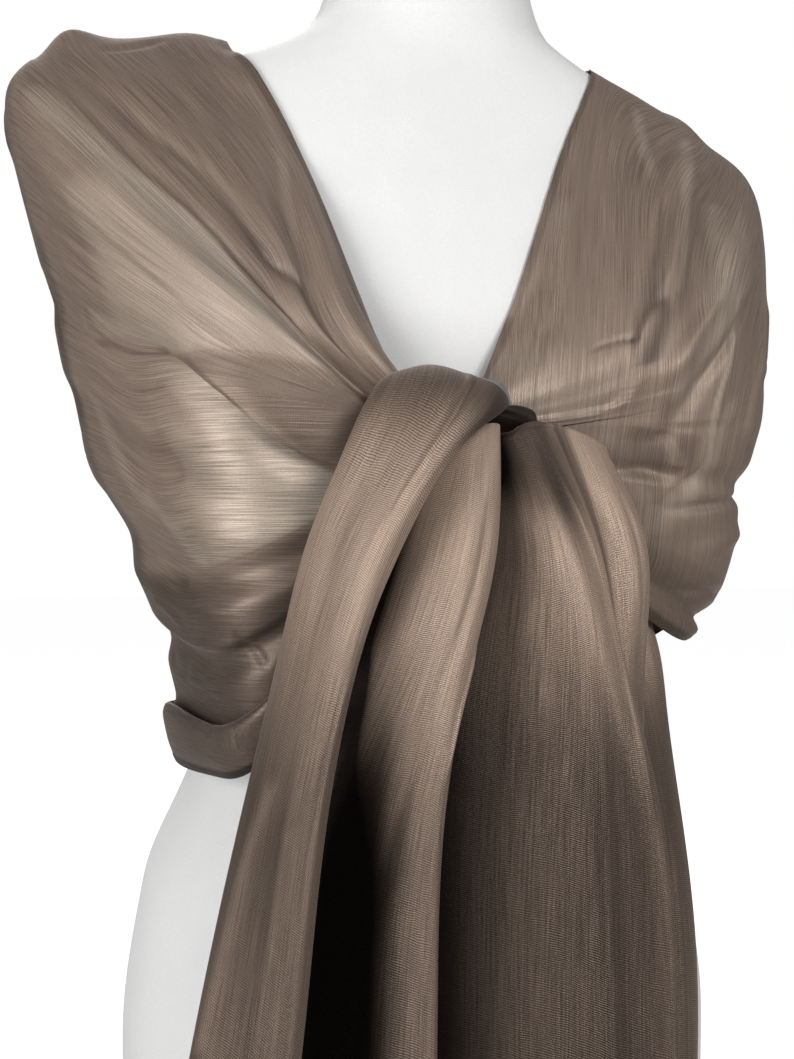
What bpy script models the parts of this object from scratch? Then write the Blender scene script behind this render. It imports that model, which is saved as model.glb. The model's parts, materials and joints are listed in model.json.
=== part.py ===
"""Evening stole worn over a limbless dress form, modelled as closed solids in metres.

X runs to the wearer's left, -Y is the front and Z is up.  The origin is the
centre of the form's flat underside.  The stole goes round the back, over both
shoulders and into a half knot on the chest, from which two tails hang.
"""

import bmesh
import bpy
import numpy as np
from mathutils.bvhtree import BVHTree
from mathutils import Vector

# ---------------------------------------------------------------- driving sizes
FORM_HEIGHT = 0.790
WALL = 0.0013            # thickness of one layer of cloth in the solids
CLEAR = 0.0026           # least room from the middle of a layer to the form
SEAM_GAP = 0.0006        # room left between the stretches where they meet
SIDE_SEAM = 0.305        # place along the wrap where the fronts meet the back

# ---------------------------------------------------------------- dress form
# height, half width, sideways lean, depth to the front, depth to the back, squareness
FORM_SECTIONS = (
    (0.000, 0.154, -.005, 0.098, 0.110, 2.2),
    (0.012, 0.158, -.005, 0.101, 0.113, 2.2),
    (0.080, 0.165, -.005, 0.108, 0.121, 2.2),
    (0.165, 0.167, -.005, 0.110, 0.122, 2.2),
    (0.250, 0.156, -.005, 0.100, 0.106, 2.2),
    (0.335, 0.127, -.003, 0.088, 0.087, 2.2),
    (0.410, 0.131, -.001, 0.095, 0.084, 2.2),
    (0.480, 0.148, 0.000, 0.116, 0.088, 2.2),
    (0.540, 0.160, 0.000, 0.116, 0.094, 2.3),
    (0.600, 0.176, 0.000, 0.097, 0.094, 2.4),
    (0.638, 0.182, 0.000, 0.080, 0.086, 2.4),
    (0.668, 0.166, 0.000, 0.066, 0.076, 2.3),
    (0.688, 0.132, 0.000, 0.057, 0.068, 2.2),
    (0.703, 0.097, 0.000, 0.052, 0.062, 2.1),
    (0.722, 0.068, 0.000, 0.050, 0.057, 2.0),
    (0.750, 0.058, 0.000, 0.051, 0.055, 2.0),
    (0.784, 0.056, 0.000, 0.052, 0.055, 2.0),
    (FORM_HEIGHT, 0.052, 0.000, 0.049, 0.051, 2.0),
)
FORM_SEGMENTS = 36
FORM_RINGS = 26

# ---------------------------------------------------------------- wrap
# Stations along each half of the wrap: knot mouth, front, front of the side,
# side, back of the side, centre of the back.
STATIONS = (0.0, 0.07, 0.145, 0.25, 0.36, 0.5)

# One row for each strand across the cloth: share of the width from the neck
# edge, then (x, y, z) at each station.  The wearer's right half comes first.
RIGHT_STRANDS = (
    (0.00, (-.064, -.130, .508), (-.082, -.117, .562), (-.098, -.076, .632), (-.118, .000, .714),
     (-.070, .066, .714), (0, .078, .700)),
    (0.12, (-.056, -.135, .503), (-.100, -.130, .553), (-.142, -.085, .626), (-.185, .003, .699),
     (-.125, .082, .686), (0, .096, .665)),
    (0.25, (-.052, -.1375, .498), (-.118, -.138, .540), (-.180, -.090, .602), (-.230, -.002, .675),
     (-.160, .094, .645), (0, .112, .620)),
    (0.40, (-.050, -.1385, .492), (-.125, -.141, .522), (-.185, -.095, .560), (-.226, -.005, .612),
     (-.158, .098, .585), (0, .118, .565)),
    (0.55, (-.050, -.1380, .486), (-.130, -.140, .495), (-.178, -.096, .510), (-.209, -.008, .545),
     (-.148, .095, .530), (0, .118, .510)),
    (0.70, (-.050, -.137, .479), (-.130, -.136, .462), (-.166, -.093, .458), (-.190, -.010, .475),
     (-.137, .088, .468), (0, .112, .455)),
    (0.82, (-.054, -.135, .470), (-.127, -.130, .425), (-.152, -.090, .412), (-.166, -.012, .425),
     (-.123, .080, .410), (0, .104, .400)),
    (0.90, (-.052, -.134, .462), (-.122, -.126, .392), (-.143, -.088, .374), (-.151, -.015, .385),
     (-.116, .076, .370), (0, .102, .360)),
    (1.00, (-.048, -.132, .452), (-.114, -.122, .345), (-.136, -.085, .320), (-.146, -.015, .318),
     (-.112, .076, .322), (0, .104, .325)),
)
LEFT_STRANDS = (
    (0.00, (-.020, -.128, .510), (.012, -.106, .572), (.048, -.066, .640), (.094, .000, .713),
     (.066, .066, .712), (0, .078, .700)),
    (0.12, (-.016, -.136, .506), (.055, -.126, .565), (.108, -.085, .632), (.154, .000, .688),
     (.110, .080, .686), (0, .096, .665)),
    (0.25, (-.016, -.1395, .501), (.085, -.138, .545), (.152, -.090, .602), (.192, -.002, .655),
     (.138, .092, .645), (0, .112, .620)),
    (0.40, (-.016, -.1399, .495), (.105, -.140, .522), (.162, -.093, .560), (.204, -.003, .602),
     (.145, .096, .585), (0, .118, .565)),
    (0.55, (-.015, -.1399, .488), (.110, -.139, .497), (.160, -.093, .515), (.203, -.005, .545),
     (.145, .095, .530), (0, .118, .510)),
    (0.70, (-.014, -.141, .481), (.110, -.136, .470), (.143, -.091, .468), (.179, -.008, .485),
     (.136, .088, .468), (0, .112, .455)),
    (0.82, (-.013, -.139, .474), (.100, -.130, .448), (.131, -.088, .432), (.161, -.010, .440),
     (.123, .080, .415), (0, .104, .400)),
    (0.90, (-.012, -.137, .466), (.093, -.127, .420), (.125, -.087, .405), (.152, -.012, .410),
     (.116, .077, .375), (0, .102, .360)),
    (1.00, (-.012, -.135, .458), (.083, -.121, .389), (.117, -.088, .387), (.142, -.015, .380),
     (.112, .076, .340), (0, .104, .325)),
)

# Folds: one row for each fold line in order across the cloth.  The first group
# is its share of the width at the fold stations and the second its lift in mm.
FOLD_STATIONS = (0.0, 0.055, 0.095, 0.135, 0.200, 0.320)
RIGHT_FOLDS = (
    # neck edge, turned facing along it and the groove under the facing
    ((.00, .00, .00, .00, .00, .00), (0, 0, 0, 0, 0, 0)),
    ((.20, .11, .05, .03, .03, .03), (2, 3, 3, 2, 1, 0)),
    ((.38, .20, .10, .07, .07, .06), (-2, -3, -2, 0, 0, 0)),
    # soft roll beside the facing, then the long crease from the shoulder
    ((.45, .25, .16, .14, .13, .12), (2, 3, 2, 1, 1, 0)),
    ((.55, .34, .25, .23, .21, .20), (-2, -5, -5, -4, -2, 0)),
    ((.60, .38, .31, .29, .28, .28), (2, 3, 4, 3, 2, 0)),
    ((.66, .48, .40, .38, .38, .37), (2, 3, 2, 0, 0, 0)),
    # pleat: the upper layer folds back under itself and comes down again
    ((.74, .60, .485, .43, .42, .41), (2, 4, 3, 1, 0, 0)),
    ((.78, .635, .520, .46, .445, .43), (2, 3, 3, 0, 0, 0)),
    ((.79, .645, .532, .48, .46, .45), (1, 1, 1, -1, 0, 0)),
    ((.78, .630, .520, .49, .475, .47), (-1, -1, -1, -2, 0, 0)),
    ((.62, .435, .470, .50, .49, .49), (-1, -1, -2, -3, -1, 0)),
    ((.61, .420, .462, .51, .505, .51), (-2, -3, -3, -3, -2, 0)),
    ((.62, .435, .475, .52, .52, .53), (-2, -5, -4, -2, -2, -1)),
    ((.80, .66, .57, .55, .55, .56), (-2, -4, -2, 0, 1, 1)),
    # slack front below the pleat
    ((.84, .72, .65, .615, .59, .60), (-1, 0, 1, 2, 3, 2)),
    ((.87, .77, .715, .665, .62, .64), (0, 1, 0, -3, -3, -2)),
    ((.89, .80, .765, .735, .70, .70), (1, 3, 3, 3, 4, 2)),
    ((.91, .835, .815, .805, .79, .78), (0, 0, -2, -3, -3, -2)),
    # three gathered tiers at the lower edge
    ((.93, .870, .850, .845, .840, .83), (1, 4, 6, 7, 7, 3)),
    ((.940, .893, .880, .877, .877, .865), (1, 3, 5, 7, 7, 2)),
    ((.945, .900, .890, .886, .888, .885), (0, 0, 0, 1, 1, -1)),
    ((.950, .912, .900, .898, .900, .905), (-1, -1, -1, -1, -1, -2)),
    ((.957, .930, .924, .922, .924, .925), (0, 1, 2, 3, 3, 1)),
    ((.963, .953, .960, .960, .960, .945), (-1, 0, 0, 0, 0, -1)),
    ((.966, .958, .967, .968, .968, .955), (0, 1, 2, 2, 2, -1)),
    ((.968, .950, .954, .954, .954, .962), (1, 4, 5, 5, 5, 0)),
    ((.972, .947, .950, .950, .950, .970), (2, 6, 7, 7, 7, 2)),
    ((.978, .955, .958, .958, .958, .980), (2, 8, 10, 10, 10, 3)),
    ((.990, .978, .980, .980, .980, .990), (1, 6, 8, 9, 8, 2)),
    ((1.00, 1.00, 1.00, 1.00, 1.00, 1.00), (0, 2, 3, 4, 3, 0)),
)
LEFT_FOLDS = (
    ((.00, .00, .00, .00, .00, .00), (0, 0, 0, 0, 0, 0)),
    ((.12, .07, .05, .04, .03, .03), (1, 1, 1, 1, 1, 0)),
    ((.26, .17, .12, .10, .08, .08), (0, -.3, -1, -1, -1, 0)),
    ((.33, .23, .17, .14, .12, .12), (0, .3, 2, 3, 2, 0)),
    ((.40, .29, .21, .18, .17, .17), (0, -.4, -2, -3, -2, 0)),
    ((.44, .35, .28, .25, .24, .24), (0, .3, 2, 3, 2, 0)),
    ((.47, .41, .36, .34, .33, .33), (0, 0, 0, 1, 0, 0)),
    # folded hem running out of the knot, over the slack cloth below it
    ((.52, .455, .43, .42, .42, .41), (1, 1, 0, 0, 0, 0)),
    ((.56, .475, .450, .44, .44, .43), (1, 1, 0, 0, 0, 0)),
    ((.57, .485, .468, .46, .46, .46), (1, .5, 0, 0, 0, 0)),
    ((.56, .490, .485, .48, .48, .48), (-1, -.5, 0, 0, 0, 0)),
    ((.52, .495, .500, .50, .50, .50), (-1, -1, 0, 0, 0, 0)),
    ((.515, .505, .517, .52, .52, .52), (-1, -1, 0, 0, 1, 0)),
    ((.54, .525, .537, .55, .55, .56), (-1, -1, 0, 1, 1, 1)),
    ((.64, .58, .58, .60, .60, .61), (-1, -1, 0, 2, 2, 1)),
    ((.74, .68, .66, .66, .66, .66), (-1, -1, 0, 0, 0, -1)),
    ((.80, .74, .72, .72, .72, .72), (-1, -2, -3, -4, -4, -2)),
    # gathered roll at the lower edge and the small roll tucked under it
    ((.84, .79, .775, .770, .765, .77), (1, 2, 4, 6, 5, 2)),
    ((.88, .845, .84, .835, .83, .83), (1, 4, 7, 10, 9, 3)),
    ((.92, .90, .90, .90, .90, .89), (1, 4, 6, 7, 6, 2)),
    ((.940, .935, .937, .937, .937, .93), (0, 0, 0, 0, 0, 0)),
    ((.955, .950, .950, .950, .950, .95), (-1, -2, -2, -2, -2, -1)),
    ((.975, .975, .975, .975, .975, .975), (0, 2, 3, 3, 3, 1)),
    ((1.00, 1.00, 1.00, 1.00, 1.00, 1.00), (0, 0, 0, 0, 0, 0)),
)
# Long soft folds down the back: share of the width, half width, lift in mm
BACK_FOLDS = (
    (0.10, 0.035, 2.5),
    (0.27, 0.050, 3.5),
    (0.45, 0.050, 3.0),
    (0.63, 0.050, 3.5),
    (0.79, 0.040, 3.0),
    (0.92, 0.030, 3.0),
)

# Small peak of cloth standing on the right shoulder: its place along the wrap
# and across it, the half widths of the rise, and its height
PEAK = (0.262, 0.150, 0.024, 0.032, 0.010)

# ---------------------------------------------------------------- tails
# One row for each fold line, from one edge of the panel to the other; its
# (x, y, z) columns run down the cloth at the shares of the drop named below
# each table.  This panel starts behind the knot, rolls over it as the band and
# hangs as the outer layer of the right tail; its last row is the free hem.
BAND_AND_TAIL = (
    ((-.063, -.1455, .497), (-.073, -.150, .506), (-.083, -.159, .499), (-.098, -.160, .467),
     (-.114, -.163, .430), (-.126, -.166, .387), (-.144, -.168, .318), (-.160, -.170, .245),
     (-.179, -.170, .130), (-.191, -.165, .016)),
    ((-.064, -.146, .501), (-.0745, -.152, .5105), (-.0859, -.163, .502), (-.1048, -.170, .467),
     (-.1212, -.174, .430), (-.1334, -.177, .387), (-.1506, -.179, .318), (-.1673, -.180, .245),
     (-.187, -.180, .130), (-.200, -.175, .017)),
    ((-.054, -.144, .506), (-.058, -.156, .5155), (-.066, -.174, .508), (-.092, -.187, .468),
     (-.1135, -.191, .428), (-.1265, -.193, .388), (-.144, -.194, .318), (-.158, -.195, .245),
     (-.176, -.194, .130), (-.188, -.188, .018)),
    ((-.042, -.144, .503), (-.040, -.155, .512), (-.048, -.176, .507), (-.078, -.197, .470),
     (-.103, -.203, .430), (-.118, -.205, .389), (-.135, -.206, .319), (-.147, -.207, .245),
     (-.163, -.206, .130), (-.174, -.200, .018)),
    ((-.030, -.143, .499), (-.0235, -.150, .508), (-.030, -.170, .504), (-.064, -.198, .474),
     (-.094, -.206, .430), (-.1095, -.209, .391), (-.1265, -.211, .320), (-.137, -.213, .245),
     (-.152, -.212, .130), (-.162, -.206, .018)),
    ((-.0205, -.142, .496), (-.0157, -.147, .502), (-.0200, -.164, .498), (-.0523, -.190, .478),
     (-.0867, -.202, .430), (-.1036, -.206, .393), (-.1204, -.208, .320), (-.1296, -.210, .245),
     (-.143, -.210, .130), (-.152, -.204, .018)),
)
TAIL_LEVELS = (0.0, 0.035, 0.07, 0.14, 0.23, 0.32, 0.47, 0.62, 0.82, 1.0)

# Inner layer of the right tail, from under the outer one to its right edge.
INNER_PANEL = (
    ((-.058, -.1600, .480), (-.088, -.171, .430), (-.108, -.174, .385), (-.130, -.176, .310),
     (-.148, -.176, .215), (-.168, -.174, .110), (-.182, -.168, .020)),
    ((-.050, -.1615, .483), (-.078, -.176, .430), (-.096, -.180, .385), (-.119, -.172, .310),
     (-.136, -.164, .215), (-.153, -.162, .110), (-.165, -.158, .021)),
    ((-.044, -.1628, .486), (-.068, -.183, .430), (-.084, -.185, .385), (-.106, -.156, .310),
     (-.118, -.141, .215), (-.130, -.139, .110), (-.140, -.137, .022)),
    ((-.036, -.1630, .488), (-.055, -.189, .430), (-.070, -.189, .385), (-.090, -.169, .310),
     (-.100, -.154, .215), (-.108, -.152, .110), (-.114, -.149, .022)),
    ((-.030, -.1628, .489), (-.044, -.189, .430), (-.057, -.192, .385), (-.074, -.184, .310),
     (-.082, -.173, .215), (-.086, -.171, .110), (-.090, -.167, .022)),
    ((-.0260, -.1634, .489), (-.035, -.183, .430), (-.0475, -.188, .385), (-.0625, -.188, .310),
     (-.066, -.184, .215), (-.068, -.182, .110), (-.070, -.177, .021)),
    ((-.0240, -.1622, .488), (-.0313, -.174, .430), (-.0442, -.177, .385), (-.059, -.178, .310),
     (-.0613, -.177, .215), (-.063, -.175, .110), (-.065, -.170, .020)),
)
PANEL_LEVELS = (0.0, 0.15, 0.27, 0.45, 0.65, 0.85, 1.0)

# Main layer of the left tail: hollow, bright ridge, front, edge, turned fold.
LEFT_TAIL = (
    ((-.022, -.160, .477), (-.030, -.148, .430), (-.038, -.141, .385), (-.046, -.129, .310),
     (-.046, -.121, .215), (-.046, -.121, .110), (-.048, -.120, .022)),
    ((-.021, -.162, .479), (-.021, -.158, .430), (-.024, -.149, .385), (-.027, -.138, .310),
     (-.026, -.132, .215), (-.026, -.132, .110), (-.028, -.131, .022)),
    ((-.019, -.1645, .482), (-.006, -.176, .430), (-.001, -.168, .385), (.001, -.155, .310),
     (.001, -.148, .215), (.000, -.147, .110), (-.003, -.145, .021)),
    ((-.014, -.1650, .485), (.003, -.183, .430), (.011, -.183, .385), (.018, -.171, .310),
     (.021, -.163, .215), (.022, -.161, .110), (.022, -.158, .020)),
    ((-.007, -.1640, .487), (.013, -.178, .430), (.022, -.184, .385), (.034, -.184, .310),
     (.040, -.179, .215), (.042, -.176, .110), (.042, -.172, .020)),
    ((.0015, -.1625, .487), (.0235, -.170, .430), (.0320, -.175, .385), (.048, -.184, .310),
     (.0555, -.186, .215), (.057, -.184, .110), (.056, -.180, .021)),
    ((.011, -.162, .485), (.030, -.162, .430), (.036, -.163, .385), (.046, -.169, .310),
     (.055, -.169, .215), (.058, -.167, .110), (.058, -.164, .022)),
    ((.022, -.160, .482), (.044, -.164, .430), (.046, -.162, .385), (.050, -.159, .310),
     (.058, -.154, .215), (.061, -.152, .110), (.062, -.150, .023)),
    ((.034, -.156, .477), (.056, -.156, .430), (.0565, -.154, .385), (.058, -.149, .310),
     (.064, -.142, .215), (.066, -.139, .110), (.067, -.137, .024)),
    ((.037, -.151, .472), (.0580, -.148, .430), (.0580, -.146, .385), (.060, -.141, .310),
     (.066, -.133, .215), (.069, -.130, .110), (.070, -.129, .025)),
)
# Rear layer of the left tail, which lies over the hip.
SIDE_PANEL = (
    ((.040, -.1425, .390), (.041, -.1438, .380), (.042, -.1425, .350), (.042, -.138, .300),
     (.046, -.130, .215), (.048, -.127, .110), (.049, -.126, .024)),
    ((.0550, -.1455, .393), (.0560, -.1452, .380), (.0570, -.1425, .350), (.0600, -.137, .300),
     (.0635, -.127, .215), (.065, -.124, .110), (.066, -.124, .024)),
    ((.059, -.122, .397), (.063, -.125, .380), (.067, -.128, .350), (.075, -.126, .300),
     (.082, -.121, .215), (.083, -.119, .110), (.084, -.119, .024)),
    ((.070, -.119, .398), (.075, -.122, .380), (.080, -.123, .350), (.089, -.120, .300),
     (.099, -.118, .215), (.100, -.117, .110), (.100, -.117, .024)),
    ((.079, -.114, .398), (.0838, -.117, .380), (.0890, -.116, .350), (.0988, -.112, .300),
     (.1110, -.109, .215), (.1105, -.108, .110), (.109, -.108, .024)),
)
SIDE_LEVELS = (0.0, 0.05, 0.13, 0.27, 0.50, 0.77, 1.0)

# ---------------------------------------------------------------- knot
# Rolled cloth inside the knot: centre (x, y, z) and radius along its run
KNOT_ROLL = (
    (-.052, -.1428, .487, .0065),
    (-.040, -.1530, .490, .0080),
    (-.026, -.1545, .4910, .0072),
    (-.013, -.1520, .4925, .0060),
    (-.004, -.1459, .4935, .0045),
)


def spline(xs, ys, t):
    """Natural cubic spline through rows of ys, read at the values t."""
    xs = np.asarray(xs, float)
    ys = np.asarray(ys, float)
    t = np.asarray(t, float)
    n = len(xs)
    h = np.diff(xs)
    lhs = np.zeros((n, n))
    rhs = np.zeros((n, ys[0].size))
    flat = ys.reshape(n, -1)
    lhs[0, 0] = lhs[-1, -1] = 1.0
    for i in range(1, n - 1):
        lhs[i, i - 1:i + 2] = h[i - 1], 2 * (h[i - 1] + h[i]), h[i]
        rhs[i] = 6 * ((flat[i + 1] - flat[i]) / h[i] - (flat[i] - flat[i - 1]) / h[i - 1])
    bend = np.linalg.solve(lhs, rhs)
    k = np.clip(np.searchsorted(xs, t, side="right") - 1, 0, n - 2)
    a = ((xs[k + 1] - t) / h[k])[:, None]
    b = 1.0 - a
    step = h[k][:, None] ** 2 / 6
    out = a * flat[k] + b * flat[k + 1] + ((a**3 - a) * bend[k] + (b**3 - b) * bend[k + 1]) * step
    return out.reshape((len(t),) + ys.shape[1:])


def eased(xs, ys, t):
    """Smooth curve through rows of ys that never overshoots them."""
    xs = np.asarray(xs, float)
    ys = np.asarray(ys, float)
    t = np.asarray(t, float)
    h = np.diff(xs).reshape((-1,) + (1,) * (ys.ndim - 1))
    rise = np.diff(ys, axis=0) / h
    slope = np.zeros_like(ys)
    same = rise[:-1] * rise[1:] > 0
    both = np.where(same, rise[:-1] + rise[1:], 1.0)
    slope[1:-1] = np.where(same, 2 * rise[:-1] * rise[1:] / both, 0.0)
    slope[0] = rise[0]
    slope[-1] = rise[-1]
    k = np.clip(np.searchsorted(xs, t, side="right") - 1, 0, len(xs) - 2)
    shape = (-1,) + (1,) * (ys.ndim - 1)
    s = ((t - xs[k]) / np.diff(xs)[k]).reshape(shape)
    w = np.diff(xs)[k].reshape(shape)
    low = ys[k] * (1 + 2 * s) * (1 - s) ** 2 + slope[k] * w * s * (1 - s) ** 2
    high = ys[k + 1] * s * s * (3 - 2 * s) + slope[k + 1] * w * s * s * (s - 1)
    return low + high


def normals_of(grid):
    across = np.gradient(grid, axis=0)
    along = np.gradient(grid, axis=1)
    n = np.cross(across, along)
    return n / np.maximum(np.linalg.norm(n, axis=2, keepdims=True), 1e-12)


def link_object(name, verts, faces, colour, rough, metal=0.0):
    mesh = bpy.data.meshes.new(name)
    bm = bmesh.new()
    made = [bm.verts.new(Vector(v)) for v in verts]
    for face in faces:
        bm.faces.new([made[i] for i in face])
    bmesh.ops.triangulate(bm, faces=[f for f in bm.faces if len(f.verts) > 3])
    bmesh.ops.recalc_face_normals(bm, faces=bm.faces)
    bm.to_mesh(mesh)
    bm.free()
    obj = bpy.data.objects.new(name, mesh)
    bpy.context.scene.collection.objects.link(obj)
    material = bpy.data.materials.new(name + "_finish")
    material.use_nodes = True
    shader = material.node_tree.nodes["Principled BSDF"]
    shader.inputs["Base Color"].default_value = (*colour, 1.0)
    shader.inputs["Roughness"].default_value = rough
    shader.inputs["Metallic"].default_value = metal
    mesh.materials.append(material)
    return obj


def cloth_wall(name, middle, colour, wrap=False):
    """Closed wall of cloth, WALL thick, round a grid of middle points."""
    if wrap:
        ring = np.concatenate([middle[-1:], middle, middle[:1]])
        n = normals_of(ring)[1:-1]
    else:
        n = normals_of(middle)
    rows, cols = middle.shape[:2]
    layers = [middle + n * WALL / 2, middle - n * WALL / 2]
    verts = np.concatenate([layer.reshape(-1, 3) for layer in layers])
    size = rows * cols
    faces = []
    for i in range(rows if wrap else rows - 1):
        j = (i + 1) % rows
        for c in range(cols - 1):
            quad = (i * cols + c, j * cols + c, j * cols + c + 1, i * cols + c + 1)
            faces.append(quad)
            faces.append(tuple(size + q for q in reversed(quad)))
        for c in (0, cols - 1):
            a, b = i * cols + c, j * cols + c
            faces.append((b, a, size + a, size + b) if c == 0 else (a, b, size + b, size + a))
    if not wrap:
        for c in range(cols - 1):
            for a, b in ((c, c + 1), ((rows - 1) * cols + c + 1, (rows - 1) * cols + c)):
                faces.append((a, b, size + b, size + a))
    return link_object(name, verts, faces, colour, 0.55)


def form_points():
    table = np.array(FORM_SECTIONS)
    levels = np.concatenate([[0.0], np.linspace(0.012, 0.784, FORM_RINGS - 2), [FORM_HEIGHT]])
    sizes = eased(table[:, 0], table[:, 1:], levels)
    turn = np.linspace(0, 2 * np.pi, FORM_SEGMENTS, endpoint=False)
    rings = []
    for z, (half, lean, front, back, square) in zip(levels, sizes):
        c, s = np.cos(turn), np.sin(turn)
        x = lean + half * np.sign(c) * np.abs(c) ** (2 / square)
        y = np.where(s < 0, front, back) * np.sign(s) * np.abs(s) ** (2 / square)
        rings.append(np.stack([x, y, np.full_like(x, z)], axis=1))
    return np.array(rings)


def make_form():
    rings = form_points()
    count, around = rings.shape[:2]
    faces = []
    for r in range(count - 1):
        for i in range(around):
            j = (i + 1) % around
            faces.append((r * around + i, r * around + j, (r + 1) * around + j, (r + 1) * around + i))
    faces.append(tuple(reversed(range(around))))
    faces.append(tuple((count - 1) * around + i for i in range(around)))
    return link_object("dress_form", rings.reshape(-1, 3), faces, (0.90, 0.89, 0.87), 0.8)


def clear_of(tree, grid, room):
    """Moves points out of and away from the form, smoothly, by at least room."""
    out = grid.copy()
    soft = 0.002
    for index in np.ndindex(grid.shape[:2]):
        point = Vector(grid[index])
        near, normal, _, _ = tree.find_nearest(point)
        away = (point - near).dot(normal)
        if away > 0.02:
            continue
        keep = 0.5 * (away + room + np.sqrt((away - room) ** 2 + soft**2))
        out[index] = np.array(point + normal * (keep - away))
    return out


def wrap_base(strands, u, v):
    """Points of the wrap before its folds: u along the cloth, v across it."""
    across = [row[0] for row in strands]
    table = np.array([row[1:] for row in strands])
    along = spline(STATIONS, table.transpose(1, 0, 2), u)
    return np.array([spline(across, column, vv) for column, vv in zip(along, v)])


def back_lift(v):
    lift = np.zeros_like(v)
    for place, half, height in BACK_FOLDS:
        lift += height * np.exp(-(((v - place) / half) ** 2))
    return lift * 0.001


def fold_profile(folds, u, w):
    """(share of the width, lift) of the fold lines at each u, read at w."""
    places = eased(FOLD_STATIONS, np.array([row[0] for row in folds]).T, np.minimum(u, 0.32))
    lifts = eased(FOLD_STATIONS, np.array([row[1] for row in folds]).T, np.minimum(u, 0.32)) * 0.001
    rows = np.linspace(0, 1, len(folds))
    v = np.array([eased(rows, column, w) for column in places])
    lift = np.array([eased(rows, column, w) for column in lifts])
    return v, lift


def outward(strands, u, v, side):
    """Outward direction of the wrap before its folds."""
    step = 0.004
    ahead = wrap_base(strands, np.clip(u + step, 0, 0.5), v)
    along = ahead - wrap_base(strands, np.clip(u - step, 0, 0.5), v)
    across = wrap_base(strands, u, v + step) - wrap_base(strands, u, v - step)
    n = np.cross(across, along) * side
    return n / np.linalg.norm(n, axis=2, keepdims=True)


def front_panel(strands, folds, side, ends, counts):
    u = np.linspace(ends[0], ends[1], counts[0])
    w = np.linspace(0, 1, counts[1])
    v, lift = fold_profile(folds, u, w)
    if side < 0:
        at_u, at_v, half_u, half_v, height = PEAK
        lift = lift + height * np.exp(-(((u[:, None] - at_u) / half_u) ** 2) - ((v - at_v) / half_v) ** 2)
    return wrap_base(strands, u, v) + outward(strands, u, v, side) * lift[..., None]


def half_back(strands, folds, side, u, v):
    """Back half of the wrap, where the folds no longer double over."""
    dense, lift = fold_profile(folds, u, np.linspace(0, 1, 400))
    blend = np.clip((u - SIDE_SEAM) / (0.42 - SIDE_SEAM), 0, 1)
    blend = blend * blend * (3 - 2 * blend)
    heights = np.array([np.interp(row, d, l) for row, d, l in zip(v, dense, lift)])
    heights = heights * (1 - blend[:, None]) + back_lift(v) * blend[:, None]
    return wrap_base(strands, u, v) + outward(strands, u, v, side) * heights[..., None]


def back_panel(counts):
    edge = SIDE_SEAM + SEAM_GAP * 2.2
    u = np.linspace(edge, 0.5, counts[0])
    v = np.repeat(np.linspace(0, 1, counts[1])[None, :], counts[0], axis=0)
    right = half_back(RIGHT_STRANDS, RIGHT_FOLDS, -1, u, v)
    left = half_back(LEFT_STRANDS, LEFT_FOLDS, 1, u, v)
    middle = (right[-1:] + left[-1:]) / 2
    return np.concatenate([right[:-1], middle, left[-2::-1]])


def loft(rows, levels, counts):
    """Cloth panel through fold lines: rows across it, levels down it."""
    table = np.array(rows)
    down = spline(levels, table.transpose(1, 0, 2), np.linspace(0, 1, counts[1]))
    places = np.linspace(0, 1, len(rows))
    return spline(places, down.transpose(1, 0, 2), np.linspace(0, 1, counts[0]))


def tucked(panel, radius, steps=5):
    """Rolls the top edge of a panel back over itself, towards the body."""
    turn = np.linspace(np.radians(170), 0, steps + 1)[:-1]
    top = panel[:, :1]
    roll = np.stack([np.zeros(steps), radius * (1 - np.cos(turn)), radius * np.sin(turn)], axis=1)
    return np.concatenate([top + roll[None], panel], axis=1)


def knot_tube(counts):
    table = np.array(KNOT_ROLL)
    run = spline(np.linspace(0, 1, len(table)), table, np.linspace(0, 1, counts[1]))
    centre = run[:, :3]
    ahead = np.gradient(centre, axis=0)
    ahead /= np.linalg.norm(ahead, axis=1, keepdims=True)
    side = np.cross(ahead, (0, 0, 1.0))
    side /= np.linalg.norm(side, axis=1, keepdims=True)
    up = np.cross(side, ahead)
    turn = np.linspace(0, 2 * np.pi, counts[0], endpoint=False)
    return np.array([centre + run[:, 3:] * (np.cos(a) * side + np.sin(a) * up) for a in turn])


def clear_scene():
    for obj in list(bpy.data.objects):
        bpy.data.objects.remove(obj, do_unlink=True)


CLOTH = (0.20, 0.15, 0.115)
clear_scene()
form = make_form()
rings = form_points()
around = rings.shape[1]
tree_faces = []
for r in range(rings.shape[0] - 1):
    for i in range(around):
        j = (i + 1) % around
        tree_faces.append((r * around + i, r * around + j, (r + 1) * around + j, (r + 1) * around + i))
tree = BVHTree.FromPolygons([tuple(p) for p in rings.reshape(-1, 3)], tree_faces)

fronts = (
    ("stole_right_front", RIGHT_STRANDS, RIGHT_FOLDS, -1, (18, 53)),
    ("stole_left_front", LEFT_STRANDS, LEFT_FOLDS, 1, (17, 41)),
)
for name, strands, folds, side, counts in fronts:
    panel = front_panel(strands, folds, side, (0.004, SIDE_SEAM), counts)
    cloth_wall(name, clear_of(tree, panel, CLEAR), CLOTH)
cloth_wall("stole_back", clear_of(tree, back_panel((9, 19)), CLEAR), CLOTH)
cloth_wall("knot_roll", knot_tube((10, 7)), CLOTH, wrap=True)
cloth_wall("tail_right_outer", loft(BAND_AND_TAIL, TAIL_LEVELS, (12, 29)), CLOTH)
cloth_wall("tail_right_inner", loft(INNER_PANEL, PANEL_LEVELS, (16, 17)), CLOTH)
cloth_wall("tail_left_main", tucked(loft(LEFT_TAIL, PANEL_LEVELS, (22, 16)), 0.0035), CLOTH)
cloth_wall("tail_left_side", loft(SIDE_PANEL, SIDE_LEVELS, (10, 15)), CLOTH)
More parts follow.
